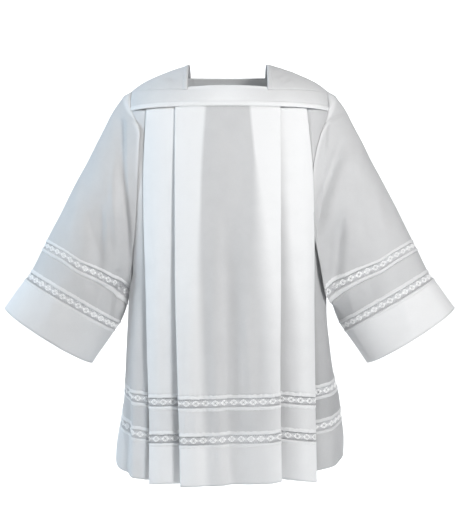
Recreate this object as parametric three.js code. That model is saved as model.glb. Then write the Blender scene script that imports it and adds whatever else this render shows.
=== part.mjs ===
// A pleated surplice: a thigh-length white vestment of thin cloth, square at the neck and wide in the
// sleeve, with two rows of lace let in above the hem and above each cuff.
// Units are millimetres. -Y is the front, +X is to the right seen from the front, and Z is up. The origin
// is midway between the two points where the ridges of the shoulders meet the neck.
import * as THREE from "three";

// ---------- Driving dimensions ----------
const WALL = 1.0; // thickness of every cloth wall
const SEAM = 0.3; // gap between two pieces that are sewn together
const LEANING_SEAM = 0.5; // the gap at mid-wall, where two pieces lean together and it narrows inside
const LACE_HEIGHT = 25; // a lace insertion with its two narrow borders
const HEM = { z: -850, border: 75, band: 46 }; // front hem, its deep border and the band between the laces
const CUFF = { border: 77, band: 46 };
const YOKE = { bottom: -104, stripHeight: 9.5, stripWall: 1.6 };
const SHOULDER = { neckX: 86, tipX: 205, roundness: 1.8, backSeam: 30 };
const NECK = { left: -83, right: 75, cornerZ: -63.5, centreRise: 3.5, bindingWidth: 9 };
const FRONT_SEAM = { neckZ: -70, tipZ: -62 }; // where the front yoke meets the shoulder pieces
const ARMHOLE = { bottom: -440, halfDepth: 70, clear: 1.25 }; // clear: from the edge to the sleeve
const SQUARENESS = 2.5; // of the body's outline: 2 would be an ellipse

// Columns of the tables below, in the order of their numbers.
const table = (columns, rows) =>
  rows.map((row) => Object.fromEntries(columns.split(" ").map((name, i) => [name, row[i]])));

// The ridge of a shoulder, from the neck to the tip.
const RIDGE = table("x z", [
  [86, 0],
  [112, -8],
  [142, -19],
  [172, -32],
  [190, -42],
  [205, -53],
]);

// The body's outline and the distance between the layers of a pleat, from the yoke down to the hem.
const SECTIONS = table("z halfWidth halfDepth layerPitch", [
  [-104, 213, 120, 1.5],
  [-200, 209, 135, 1.8],
  [-320, 207, 141, 2.2],
  [-440, 206, 146, 2.6],
  [-520, 209, 150, 3.0],
  [-610, 216, 155, 3.5],
  [-690, 223, 159, 4.0],
  [-762, 231, 164, 4.5],
  [-820, 240, 167, 4.8],
  [-850, 242, 168, 5.0],
]);

// Where the folded edges of the four pleats lie, across the front, and how far each tucks in behind itself.
const PLEATS = table("z leftOuter leftInner rightInner rightOuter underlay", [
  [-104, 170, 109, 102, 158, 64],
  [-250, 176, 109, 102, 171, 56],
  [-450, 173, 108, 102, 175, 50],
  [-620, 168, 103, 100, 176, 46],
  [-762, 164, 98, 101, 178, 44],
  [-850, 164, 96, 102, 180, 43],
]);
const OUTER_TUCK_MARGIN = 3; // the outer pleat's tuck stops this far short of the inner pleat's edge

// How far each edge hangs above (+) or below (-) the middle of the hem.
const HANG = {
  left: { panelFold: -4, stripInner: 4, stripOuter: -2, sideInner: 10, sideSeam: 31 },
  right: { panelFold: 8, stripInner: 8, stripOuter: -2, sideInner: 14, sideSeam: 31 },
};

// The sleeve's rings, by distance from the cuff: the upper edge, the lower edge, half the depth from front
// to back, and how far the front of the ring lies above a straight line between its edges.
const SLEEVE_RINGS = table("fromCuff topX topZ lowX lowZ halfDepth frontRise", [
  [0, 475, -511, 291, -628, 73, -1],
  [77, 432.5, -453, 245.5, -562, 72, 4],
  [102, 418.5, -433, 232, -542, 72, 5],
  [148, 397.5, -392, 216.5, -497, 72, 6],
  [173, 386.5, -370, 214, -470, 72, 6],
  [262, 344, -285, 213.5, -464, 73, 5],
  [354, 301, -204, 213, -459, 74, 3],
  [432, 266, -135, 212.5, -454, 73, 0],
  [486, 242, -90, 212, -449, 70, 0],
  [514, 223, -65, 210.5, -444, 77, 0],
]);

const CLOTH = { color: 0xe9ebee, roughness: 0.85, metalness: 0 };
const LACE_CLOTH = { color: 0xc9ccd0, roughness: 0.9, metalness: 0 };

// ---------- Helpers ----------
const radians = THREE.MathUtils.degToRad;
const lerp = THREE.MathUtils.lerp;
const vec = (x, y, z) => new THREE.Vector3(x, y, z);

// The table's row at a value of its first column, between its neighbours.
function rowAt(rows, key, value) {
  const rising = rows[1][key] > rows[0][key];
  let i = 0;
  while (i < rows.length - 2 && (rising ? value > rows[i + 1][key] : value < rows[i + 1][key])) i++;
  const t = THREE.MathUtils.clamp((value - rows[i][key]) / (rows[i + 1][key] - rows[i][key]), 0, 1);
  const between = (name) => [name, lerp(rows[i][name], rows[i + 1][name], t)];
  return Object.fromEntries(Object.keys(rows[i]).map(between));
}

const power = (value, exponent) => Math.sign(value) * Math.abs(value) ** exponent;

// A closed solid from a grid of middle points, rows of equal length: each side lies half the wall from
// them. A closed grid joins the ends of its rows. Lift moves the whole wall out, to lie on another piece.
function clothGeometry(rows, { wall = WALL, closed = false, lift = 0 } = {}) {
  const height = rows.length;
  const width = rows[0].length;
  const column = (i) => (closed ? (i + width) % width : THREE.MathUtils.clamp(i, 0, width - 1));
  const row = (j) => rows[THREE.MathUtils.clamp(j, 0, height - 1)];
  const outwardAt = (j, i) => {
    const here = rows[j][i];
    const before = here.clone().sub(rows[j][column(i - 1)]);
    const after = rows[j][column(i + 1)].clone().sub(here);
    if (before.length() === 0) before.copy(after);
    if (after.length() === 0) after.copy(before);
    const along = before.normalize().clone().add(after.normalize()).normalize();
    const down = row(j + 1)[i].clone().sub(row(j - 1)[i]);
    const mitre = 1 / Math.max(along.dot(before), 0.5);
    return down.cross(along).normalize().multiplyScalar(mitre);
  };
  const positions = [];
  for (const offset of [lift + wall / 2, lift - wall / 2])
    for (let j = 0; j < height; j++)
      for (let i = 0; i < width; i++) {
        const point = rows[j][i].clone().addScaledVector(outwardAt(j, i), offset);
        positions.push(point.x, point.y, point.z);
      }
  const index = (side, j, i) => (side * height + j) * width + column(i);
  const triangles = [];
  const quad = (a, b, c, d) => triangles.push(a, b, c, a, c, d);
  const spans = closed ? width : width - 1;
  for (let i = 0; i < spans; i++) {
    for (let j = 0; j < height - 1; j++) {
      quad(index(0, j, i), index(0, j + 1, i), index(0, j + 1, i + 1), index(0, j, i + 1));
      quad(index(1, j, i), index(1, j, i + 1), index(1, j + 1, i + 1), index(1, j + 1, i));
    }
    const last = height - 1;
    quad(index(0, 0, i), index(0, 0, i + 1), index(1, 0, i + 1), index(1, 0, i));
    quad(index(0, last, i), index(1, last, i), index(1, last, i + 1), index(0, last, i + 1));
  }
  if (!closed)
    for (let j = 0; j < height - 1; j++) {
      const end = width - 1;
      quad(index(0, j, 0), index(1, j, 0), index(1, j + 1, 0), index(0, j + 1, 0));
      quad(index(0, j, end), index(0, j + 1, end), index(1, j + 1, end), index(1, j, end));
    }
  const geometry = new THREE.BufferGeometry();
  geometry.setAttribute("position", new THREE.Float32BufferAttribute(positions, 3));
  geometry.setIndex(triangles);
  geometry.computeVertexNormals();
  return geometry;
}

// ---------- The body's outline ----------
const OUTLINE_STEPS = 64;

// Half of the front outline at a height, from the middle of the front (s = 0) to the side seam.
function outline(z) {
  const { halfWidth, halfDepth } = rowAt(SECTIONS, "z", z);
  const points = [];
  for (let k = 0; k <= OUTLINE_STEPS; k++) {
    const t = (Math.PI / 2) * (k / OUTLINE_STEPS);
    points.push({
      x: halfWidth * Math.sin(t) ** (2 / SQUARENESS),
      y: -halfDepth * Math.cos(t) ** (2 / SQUARENESS),
    });
  }
  const lengths = [0];
  for (let k = 1; k < points.length; k++)
    lengths.push(lengths[k - 1] + Math.hypot(points[k].x - points[k - 1].x, points[k].y - points[k - 1].y));
  const find = (list, value) => {
    let k = 1;
    while (k < list.length - 1 && list[k] < value) k++;
    return { k, t: (value - list[k - 1]) / (list[k] - list[k - 1]) };
  };
  return {
    halfWidth,
    halfDepth,
    length: lengths[OUTLINE_STEPS],
    // The distance along the outline at a place across, and at a depth from front to back.
    lengthAtX: (x) => {
      const { k, t } = find(points.map((p) => p.x), x);
      return lerp(lengths[k - 1], lengths[k], t);
    },
    lengthAtY: (y) => {
      const { k, t } = find(points.map((p) => p.y), y);
      return lerp(lengths[k - 1], lengths[k], t);
    },
    // The point at a distance along, moved in by a depth at right angles to the outline.
    at: (s, depth) => {
      const { k, t } = find(lengths, s);
      const from = points[k - 1];
      const to = points[k];
      const size = Math.hypot(to.x - from.x, to.y - from.y);
      const inX = -(to.y - from.y) / size;
      const inY = (to.x - from.x) / size;
      return { x: lerp(from.x, to.x, t) + inX * depth, y: lerp(from.y, to.y, t) + inY * depth };
    },
  };
}

const outlineDepth = (x, z) => {
  const { halfWidth, halfDepth } = rowAt(SECTIONS, "z", z);
  return halfDepth * (1 - (Math.abs(x) / halfWidth) ** SQUARENESS) ** (1 / SQUARENESS);
};

// ---------- The armhole ----------
const shoulderTipZ = RIDGE.at(-1).z;
const armholeMiddle = (shoulderTipZ + ARMHOLE.bottom) / 2;
const armholeHalfHeight = (shoulderTipZ - ARMHOLE.bottom) / 2;

const armholeDepth = (z) =>
  ARMHOLE.halfDepth * Math.sqrt(Math.max(0, 1 - ((z - armholeMiddle) / armholeHalfHeight) ** 2));

// Heights of the panel's rows beside the armhole, by angle from its top.
const ARMHOLE_ANGLES = [56, 74, 92, 110, 128, 146, 163];
const armholeHeights = ARMHOLE_ANGLES.map(
  (angle) => armholeMiddle + armholeHalfHeight * Math.cos(radians(angle)),
);

// ---------- Front and back of the body, pleated ----------
// Half of a row, as distances along the outline, layers behind the outline and shares of the hang. The
// inner pleat and the outer pleat each fold back behind themselves and out again.
function halfRow(z, side) {
  const shape = outline(z);
  const { layerPitch } = rowAt(SECTIONS, "z", z);
  const pleats = rowAt(PLEATS, "z", z);
  const inner = shape.lengthAtX(pleats[side + "Inner"]);
  const outer = shape.lengthAtX(pleats[side + "Outer"]);
  const end = z > ARMHOLE.bottom ? shape.lengthAtY(-armholeDepth(z)) : shape.length;
  const tuck = inner - pleats.underlay;
  const outerTuck = inner + OUTER_TUCK_MARGIN;
  const middle = (a, b) => (a + b) / 2;
  const hang = HANG[side];
  const tuckHang = middle(hang.panelFold, hang.stripInner);
  const outerTuckHang = middle(hang.stripOuter, hang.sideInner);
  const stops = [
    [0, 0, 0],
    [tuck, 0, hang.panelFold * 0.5],
    [inner, 0, hang.panelFold],
    [inner, 1, hang.panelFold],
    [tuck, 1, tuckHang],
    [tuck, 2, tuckHang],
    [inner, 2, hang.stripInner],
    [outer, 2, hang.stripOuter],
    [outer, 3, hang.stripOuter],
    [outerTuck, 3, outerTuckHang],
    [outerTuck, 4, outerTuckHang],
    [outer, 4, hang.sideInner],
  ];
  const SIDE_STOPS = 4;
  for (let k = 1; k <= SIDE_STOPS; k++) {
    const share = k / SIDE_STOPS;
    const layer = 4 * (1 - share) ** 1.5;
    const s = lerp(outer, end - LEANING_SEAM / 2, share);
    stops.push([s, layer, lerp(hang.sideInner, hang.sideSeam, share)]);
  }
  const hangShare = THREE.MathUtils.clamp((z - ARMHOLE.bottom) / (HEM.z - ARMHOLE.bottom), 0, 1);
  return stops.map(([s, layer, rise]) => {
    const point = shape.at(s, layer * layerPitch);
    return vec(side === "left" ? -point.x : point.x, point.y, z + rise * hangShare);
  });
}

function frontRow(z) {
  const left = halfRow(z, "left").slice(1).reverse();
  return [...left, ...halfRow(z, "right")];
}

// The back is cut as the front, and turned to face the other way.
const backRow = (z) => frontRow(z).map((point) => vec(-point.x, -point.y, point.z));

const laceLowerTop = HEM.z + HEM.border + LACE_HEIGHT;
const laceUpperTop = laceLowerTop + HEM.band + LACE_HEIGHT;
const BODY_PIECES = [
  {
    name: "panel",
    lace: false,
    heights: [
      YOKE.bottom - LEANING_SEAM,
      ...armholeHeights,
      ARMHOLE.bottom,
      ...[-500, -590],
      laceUpperTop + SEAM,
    ],
  },
  { name: "lace_upper", lace: true, heights: [laceUpperTop, laceUpperTop - LACE_HEIGHT] },
  {
    name: "band",
    lace: false,
    heights: [laceUpperTop - LACE_HEIGHT - SEAM, laceLowerTop + SEAM],
  },
  { name: "lace_lower", lace: true, heights: [laceLowerTop, laceLowerTop - LACE_HEIGHT] },
  {
    name: "hem",
    lace: false,
    heights: [laceLowerTop - LACE_HEIGHT - SEAM, HEM.z + HEM.border / 2, HEM.z],
  },
];

// ---------- Shoulders, yokes, strips and neck bindings ----------
const ridgeZ = (x) => rowAt(RIDGE, "x", Math.abs(x)).z;

// A point over the shoulders: angle 0 is the ridge, -90 the foot of the front yoke and 90 that of the back.
function topPoint(x, angle) {
  const turn = radians(angle);
  const depth = outlineDepth(x, YOKE.bottom);
  const exponent = 2 / SHOULDER.roundness;
  const rise = (ridgeZ(x) - YOKE.bottom) * power(Math.cos(turn), exponent);
  return vec(x, depth * power(Math.sin(turn), exponent), YOKE.bottom + rise);
}

// The angle at which the front of the shoulders passes a height.
function frontAngleAt(x, z) {
  const share = (z - YOKE.bottom) / (ridgeZ(x) - YOKE.bottom);
  return -THREE.MathUtils.radToDeg(Math.acos(share ** (SHOULDER.roundness / 2)));
}

function frontSeamZ(x) {
  const share = (Math.abs(x) - SHOULDER.neckX) / (SHOULDER.tipX - SHOULDER.neckX);
  return lerp(FRONT_SEAM.neckZ, FRONT_SEAM.tipZ, share);
}

// The neck's front edge bows up a little between its corners.
function neckEdgeZ(x) {
  const middle = (NECK.left + NECK.right) / 2;
  const share = (x - middle) / ((NECK.right - NECK.left) / 2);
  return NECK.cornerZ + NECK.centreRise * (1 - share * share);
}

// Degrees over the shoulder that make a seam's gap at a place across.
const seamAngle = (x) => THREE.MathUtils.radToDeg(LEANING_SEAM / outlineDepth(x, YOKE.bottom));

const spread = (from, to, count) =>
  Array.from({ length: count + 1 }, (_, k) => lerp(from, to, k / count));

// Columns across a shoulder, from just outside the corner of the neck to the tip: the first two carry the
// neck binding. The neck's front edge stands above the shoulder seam within the step.
const NECK_STEP = 1.3;
function shoulderColumns(neckX, clear = 0) {
  const side = Math.sign(neckX);
  const edge = neckX + side * (NECK_STEP + clear);
  const toTip = [185, 197, SHOULDER.tipX].map((x) => side * x);
  return [edge, ...spread(edge + side * NECK.bindingWidth, side * 165, 3), ...toTip];
}

// Rows of a yoke from its top edge to its foot: the last two carry the raised strip.
function yokeRows(columns, topAngle, foot) {
  const stripAngle = (x) => -Math.sign(foot) * frontAngleAt(x, YOKE.bottom + YOKE.stripHeight);
  const rowOf = (angleAt) => columns.map((x) => topPoint(x, angleAt(x)));
  return [
    rowOf(topAngle),
    rowOf((x) => lerp(topAngle(x), stripAngle(x), 0.33)),
    rowOf((x) => lerp(topAngle(x), stripAngle(x), 0.67)),
    rowOf(stripAngle),
    rowOf(() => foot),
  ];
}

const yokeColumns = () => [
  ...shoulderColumns(NECK.left).reverse(),
  ...spread(NECK.left, NECK.right, 6),
  ...shoulderColumns(NECK.right),
];

function frontYokeRows() {
  const columns = yokeColumns();
  const isNeck = (x) => x >= NECK.left && x <= NECK.right;
  const topZ = (x) => (isNeck(x) ? neckEdgeZ(x) : frontSeamZ(x));
  return yokeRows(columns, (x) => frontAngleAt(x, topZ(x)) - seamAngle(x) / 2, -90);
}

function backYokeRows() {
  const columns = yokeColumns().reverse();
  return yokeRows(columns, (x) => SHOULDER.backSeam + seamAngle(x) / 2, 90);
}

function shoulderRows(neckX) {
  const columns = shoulderColumns(neckX, SEAM);
  if (neckX < 0) columns.reverse();
  return [1, 0.5, 0, -0.5, -1].map((share) =>
    columns.map((x) => {
      const front = frontAngleAt(x, frontSeamZ(x)) + seamAngle(x) / 2;
      const back = SHOULDER.backSeam - seamAngle(x) / 2;
      return topPoint(x, share < 0 ? front * -share : back * share);
    }),
  );
}

// The same rows with their ends drawn in a little, to clear the sleeves.
function shortened(rows) {
  const DRAWN_IN = 1;
  return rows.map((row) => {
    const pull = (end, next) => end.clone().addScaledVector(next.clone().sub(end).normalize(), DRAWN_IN);
    return [pull(row[0], row[1]), ...row.slice(1, -1), pull(row.at(-1), row.at(-2))];
  });
}

// A narrow strip laid on a shoulder piece beside the neck, its front end just short of the yoke's seam.
const BINDING_SHORT = 1;
function bindingRows(neckX) {
  const rows = shoulderRows(neckX).map((row) => (neckX < 0 ? row.slice(-2) : row.slice(0, 2)));
  const last = rows.length - 1;
  rows[last].forEach((point, i) => {
    const back = rows[last - 1][i].clone().sub(point);
    point.addScaledVector(back.normalize(), BINDING_SHORT);
  });
  return rows;
}

// ---------- Sleeves ----------
// The armhole's edge on the right, from the shoulder's ridge down the front, under the arm and up the back.
function armholeRing() {
  const frontSeam = frontAngleAt(SHOULDER.tipX, frontSeamZ(SHOULDER.tipX));
  const over = [frontSeam, (frontSeam - 90) / 2, -90].map((angle) => topPoint(SHOULDER.tipX, angle));
  const down = armholeHeights.map((z) => {
    const shape = outline(z);
    const point = shape.at(shape.lengthAtY(-armholeDepth(z)), 0);
    return vec(point.x, point.y, z);
  });
  const front = [...over, ...down];
  const back = front.map((point) => vec(point.x, -point.y, point.z)).reverse();
  const top = topPoint(SHOULDER.tipX, 0);
  const bottom = vec(rowAt(SECTIONS, "z", ARMHOLE.bottom).halfWidth, 0, ARMHOLE.bottom);
  return [top, ...front, bottom, ...back].map((point) => point.add(vec(ARMHOLE.clear, 0, 0)));
}

// The angles round the sleeve that match the armhole's points.
const HEAD_ANGLES = [16, 29, 41];
const ringAngles = [
  0,
  ...HEAD_ANGLES,
  ...ARMHOLE_ANGLES,
  180,
  ...ARMHOLE_ANGLES.map((angle) => 360 - angle).reverse(),
  ...HEAD_ANGLES.map((angle) => 360 - angle).reverse(),
];

// The ring at a distance from the cuff, on the right: an oval from the upper edge by the front to the
// lower edge. Shift moves the whole ring up the sleeve, to leave a seam's gap.
function sleeveRing(fromCuff, shift = 0) {
  const ring = rowAt(SLEEVE_RINGS, "fromCuff", fromCuff);
  const top = vec(ring.topX, 0, ring.topZ);
  const low = vec(ring.lowX, 0, ring.lowZ);
  const middle = top.clone().add(low).multiplyScalar(0.5);
  const half = top.clone().sub(middle);
  const up = vec(-half.z, 0, half.x).normalize();
  return ringAngles.map((angle) => {
    const turn = radians(angle);
    const point = middle.clone().addScaledVector(half, Math.cos(turn));
    point.addScaledVector(up, ring.frontRise * Math.sin(turn) + shift);
    point.y = -ring.halfDepth * Math.sin(turn);
    return point;
  });
}

// The rings run the other way round on the left, so that both sleeves face out.
const onSide = (side, ring) =>
  side === "right" ? ring : ring.map((point) => vec(-point.x, point.y, point.z)).reverse();

const sleeveLaceLower = CUFF.border + LACE_HEIGHT;
const sleeveLaceUpper = sleeveLaceLower + CUFF.band + LACE_HEIGHT;
const aboveSeam = (fromCuff) => sleeveRing(fromCuff, SEAM);
const SLEEVE_PIECES = [
  {
    name: "sleeve",
    lace: false,
    rings: [
      armholeRing(),
      ...[514, 486, 432, 354, 262].map((fromCuff) => sleeveRing(fromCuff)),
      aboveSeam(sleeveLaceUpper),
    ],
  },
  {
    name: "sleeve_lace_upper",
    lace: true,
    rings: [sleeveRing(sleeveLaceUpper), aboveSeam(sleeveLaceUpper - LACE_HEIGHT)],
  },
  {
    name: "sleeve_band",
    lace: false,
    rings: [sleeveRing(sleeveLaceUpper - LACE_HEIGHT), aboveSeam(sleeveLaceLower)],
  },
  {
    name: "sleeve_lace_lower",
    lace: true,
    rings: [sleeveRing(sleeveLaceLower), aboveSeam(CUFF.border)],
  },
  {
    name: "sleeve_cuff",
    lace: false,
    rings: [sleeveRing(CUFF.border), sleeveRing(CUFF.border / 2), sleeveRing(0)],
  },
];

// ---------- The garment ----------
const garment = new THREE.Group();

function addPiece(name, geometry, finish = CLOTH) {
  const mesh = new THREE.Mesh(geometry, new THREE.MeshStandardMaterial(finish));
  mesh.name = name;
  garment.add(mesh);
}

const finishOf = (piece) => (piece.lace ? LACE_CLOTH : CLOTH);
for (const [face, rowOf] of [["front", frontRow], ["back", backRow]])
  for (const piece of BODY_PIECES)
    addPiece(`${face}_${piece.name}`, clothGeometry(piece.heights.map(rowOf)), finishOf(piece));

const stripLift = { wall: YOKE.stripWall, lift: WALL / 2 + SEAM + YOKE.stripWall / 2 };
for (const [name, rows] of [["front_yoke", frontYokeRows()], ["back_yoke", backYokeRows()]]) {
  addPiece(name, clothGeometry(rows));
  addPiece(`${name}_strip`, clothGeometry(shortened(rows.slice(-2)), stripLift));
}
for (const [side, neckX] of [["left", NECK.left], ["right", NECK.right]]) {
  addPiece(`${side}_shoulder`, clothGeometry(shoulderRows(neckX)));
  addPiece(`${side}_neck_binding`, clothGeometry(bindingRows(neckX), { lift: WALL + SEAM }));
  for (const piece of SLEEVE_PIECES) {
    const rings = piece.rings.map((ring) => onSide(side, ring));
    addPiece(`${side}_${piece.name}`, clothGeometry(rings, { closed: true }), finishOf(piece));
  }
}

export default garment;
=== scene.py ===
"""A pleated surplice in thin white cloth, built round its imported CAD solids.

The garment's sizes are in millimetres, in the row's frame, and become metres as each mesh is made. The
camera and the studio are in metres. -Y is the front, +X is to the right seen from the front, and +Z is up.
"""

import bpy
import numpy as np
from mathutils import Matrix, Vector


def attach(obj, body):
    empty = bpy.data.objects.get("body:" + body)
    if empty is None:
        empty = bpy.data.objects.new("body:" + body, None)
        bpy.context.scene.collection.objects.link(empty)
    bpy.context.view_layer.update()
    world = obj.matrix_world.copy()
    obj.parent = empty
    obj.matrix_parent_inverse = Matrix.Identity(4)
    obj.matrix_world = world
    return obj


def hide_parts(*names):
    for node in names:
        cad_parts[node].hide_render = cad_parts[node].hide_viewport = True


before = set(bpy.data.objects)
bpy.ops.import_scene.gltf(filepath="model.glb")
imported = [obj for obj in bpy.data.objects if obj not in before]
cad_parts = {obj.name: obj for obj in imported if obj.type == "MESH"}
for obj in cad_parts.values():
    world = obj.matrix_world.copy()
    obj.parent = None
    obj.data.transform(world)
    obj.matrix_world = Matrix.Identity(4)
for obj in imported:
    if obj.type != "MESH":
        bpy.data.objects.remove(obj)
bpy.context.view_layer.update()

# ---------- Camera: level, two metres in front, at the middle of the garment's height ----------
CAMERA_PLACE = (0.008, -2.0, -0.4176)
CAMERA_SENSOR, CAMERA_LENS, CAMERA_REACH = 36, 64.57, 50

camera_data = bpy.data.cameras.new("camera")
camera_data.sensor_width, camera_data.lens, camera_data.clip_end = CAMERA_SENSOR, CAMERA_LENS, CAMERA_REACH
camera = bpy.data.objects.new("camera", camera_data)
bpy.context.scene.collection.objects.link(camera)
camera.location = CAMERA_PLACE
camera.rotation_euler = (np.pi / 2, 0, 0)
bpy.context.scene.camera = camera

# ---------- Sizes of the garment, as in its CAD ----------
LACE_HEIGHT = 25
HEM_Z, HEM_BORDER, HEM_BAND = -850, 75, 46
CUFF_BORDER, CUFF_BAND, SLEEVE_LENGTH = 77, 46, 514
YOKE_BOTTOM, STRIP_HEIGHT = -104, 9.5
SHOULDER_NECK_X, SHOULDER_TIP_X = 86, 205
NECK_LEFT, NECK_RIGHT, NECK_CORNER_Z, NECK_RISE, NECK_GAP, BINDING = -83, 75, -63.5, 3.5, 1.3, 9
FRONT_SEAM_NECK_Z, FRONT_SEAM_TIP_Z, BACK_SEAM_ANGLE = -70, -62, 30
ARMHOLE_BOTTOM, ARMHOLE_HALF_DEPTH = -440, 70
# The powers of the rounded outlines: the body's seen from above, and the shoulders' seen from the side.
SQUARENESS, ROUNDNESS = 2.5, 1.8
OUTER_TUCK_MARGIN = 3

# The shoulder's ridge: the height at each distance from the middle.
RIDGE = {86: 0, 112: -8, 142: -19, 172: -32, 190: -42, 205: -53}

# In each table below, the first column is where the rest holds: a height, or for the sleeve's rings a
# distance from the cuff. The other columns are named further down, where the tables are read.
SECTIONS = """
-104 213 120 1.5
-200 209 135 1.8
-320 207 141 2.2
-440 206 146 2.6
-520 209 150 3.0
-610 216 155 3.5
-690 223 159 4.0
-762 231 164 4.5
-820 240 167 4.8
-850 242 168 5.0
"""

PLEATS = """
-104 171 109 102 158 62 62
-250 179 109 102 173 54 49
-450 176 108 102 178 50 36
-620 171 103 100 180 50 23
-762 166 98 101 182 56 20
-850 166 96 102 183.5 57 20
"""

SLEEVE_RINGS = """
0 475 -511 291 -628 73 -1
77 432.5 -453 245.5 -562 72 4
102 418.5 -433 232 -542 72 5
148 397.5 -392 216.5 -497 72 6
173 386.5 -370 214 -470 72 6
262 344 -285 213.5 -464 73 5
354 301 -204 213 -459 74 3
432 266 -135 212.5 -454 73 0
486 242 -90 212 -449 70 0
514 223 -65 210.5 -444 77 0
"""

# How far each edge hangs above or below the middle of the hem, and the powers of how the hem climbs
# towards the side seam (bow) and of how all this grows from the armhole down (rise).
HANG = {
    "left": dict(fold=-4, strip_inner=-2, strip_outer=-7, side_inner=-2, side_seam=36, bow=1.9, rise=1),
    "right": dict(fold=6, strip_inner=5, strip_outer=-5, side_inner=9, side_seam=36, bow=0.75, rise=0.6),
}

# How far the strip behind a pleat's folded edge falls back from it, and how widely, each at the yoke
# and at the hem; and the same of the side panel behind the strip.
FALL_BACK = {"left": (1, 18, 20, 40), "right": (5, 32, 22, 44)}
SIDE_FALL_BACK = {"left": (1, 16, 14, 16), "right": (9, 18, 22, 18)}
FALL_ROUNDING = 5

# How far each side seam is drawn in below the armhole.
WAIST = {
    "left": [(-440, -1), (-493, -5), (-574, -3), (-650, 0), (-735, 4), (-850, 3)],
    "right": [(-440, 0), (-480, 3), (-569, 10), (-650, 6), (-735, -4), (-800, -2), (-850, 2)],
}
WAIST_REACH = 60

# Where the front of each sleeve's head folds back on itself over the side panel: (up, across).
SLEEVE_FOLD = {
    "left": [(-80, 186), (-119, 181), (-190, 185), (-250, 188), (-321, 192), (-355, 195), (-416, 202),
             (-460, 206), (-505, 211)],
    "right": [(-80, 197), (-109, 195), (-133, 191), (-165, 183), (-193, 175), (-235, 169), (-340, 170),
              (-391, 178), (-416, 183), (-442, 188), (-482, 196), (-510, 204)],
}


def smooth_curve(places, values):
    """A smooth curve through points that doesn't overshoot them, as a function of place."""
    order = np.argsort(places)
    x, y = np.asarray(places, float)[order], np.asarray(values, float)[order]
    step = np.diff(x)
    slope = np.diff(y) / step
    both = slope[:-1] * slope[1:]
    sums = np.where(both > 0, slope[:-1] + slope[1:], 1)
    tangent = np.concatenate([slope[:1], np.where(both > 0, 2 * both / sums, 0), slope[-1:]])

    def at(place):
        place = np.clip(place, x[0], x[-1])
        i = np.clip(np.searchsorted(x, place) - 1, 0, len(step) - 1)
        t = (place - x[i]) / step[i]
        ends = y[i] * (2 * t**3 - 3 * t**2 + 1) + y[i + 1] * (3 * t**2 - 2 * t**3)
        bend = tangent[i] * (t**3 - 2 * t**2 + t) + tangent[i + 1] * (t**3 - t**2)
        return ends + step[i] * bend

    return at


def table(text, names):
    """A smooth curve for each named column of a text table, by the table's first column."""
    rows = np.array([[float(v) for v in line.split()] for line in text.strip().splitlines()])
    return {name: smooth_curve(rows[:, 0], rows[:, i + 1]) for i, name in enumerate(names.split())}


body_at = table(SECTIONS, "width depth pitch")
pleat_at = table(PLEATS, "left_outer left_inner right_inner right_outer left_underlay right_underlay")
ring_at = table(SLEEVE_RINGS, "top_x top_z low_x low_z depth rise")
ridge_z = smooth_curve(list(RIDGE), list(RIDGE.values()))
waist = {side: smooth_curve(*zip(*points)) for side, points in WAIST.items()}
sleeve_fold = {side: smooth_curve(*zip(*points)) for side, points in SLEEVE_FOLD.items()}


def smoothstep(t):
    t = np.clip(t, 0, 1)
    return t * t * (3 - 2 * t)


# ---------- Creases ----------
# Each crease is how far it lifts the cloth, its widths on its two sides, which of its ends fade out, and
# the points along it, across and up.
FADE_SHARE = 0.35
CREASE_REACH = 2.6


def creases_in(text):
    """The creases of a text table: lift, two widths, fading ends, and the points along each."""
    found = []
    for line in text.strip().splitlines():
        if not line.startswith("#"):
            lift, left, right, ends, *points = line.split()
            points = np.array(points, float).reshape(-1, 2)
            found.append((float(lift), (float(left), float(right)), ends, points))
    return found


def relief(x, z, creases):
    """How far a face is lifted at each point by its creases."""
    total = np.zeros(np.shape(x))
    for lift, (left, right), ends, line in creases:
        reach = CREASE_REACH * max(left, right)
        low, high = line.min(0) - reach, line.max(0) + reach
        near = (x > low[0]) & (x < high[0]) & (z > low[1]) & (z < high[1])
        if not near.any():
            continue
        px, pz = x[near], z[near]
        lengths = np.concatenate([[0], np.cumsum(np.hypot(*np.diff(line, axis=0).T))])
        gap, along, side = np.full(px.shape, 1e9), np.zeros(px.shape), np.ones(px.shape)
        for k in range(len(line) - 1):
            a, d = line[k], line[k + 1] - line[k]
            t = np.clip(((px - a[0]) * d[0] + (pz - a[1]) * d[1]) / (d @ d), 0, 1)
            across, up = px - a[0] - t * d[0], pz - a[1] - t * d[1]
            distance = np.hypot(across, up)
            closer = distance < gap
            gap = np.where(closer, distance, gap)
            along = np.where(closer, lengths[k] + t * (lengths[k + 1] - lengths[k]), along)
            side = np.where(closer, d[0] * up - d[1] * across, side)
        share = along / lengths[-1]
        fade = np.ones(px.shape)
        if ends in ("start", "both"):
            fade = fade * smoothstep(share / FADE_SHARE)
        if ends in ("end", "both"):
            fade = fade * smoothstep((1 - share) / FADE_SHARE)
        spread = np.where(side > 0, right, left)
        total[near] += lift * fade * np.exp(-((gap / spread) ** 2))
    return total


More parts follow.
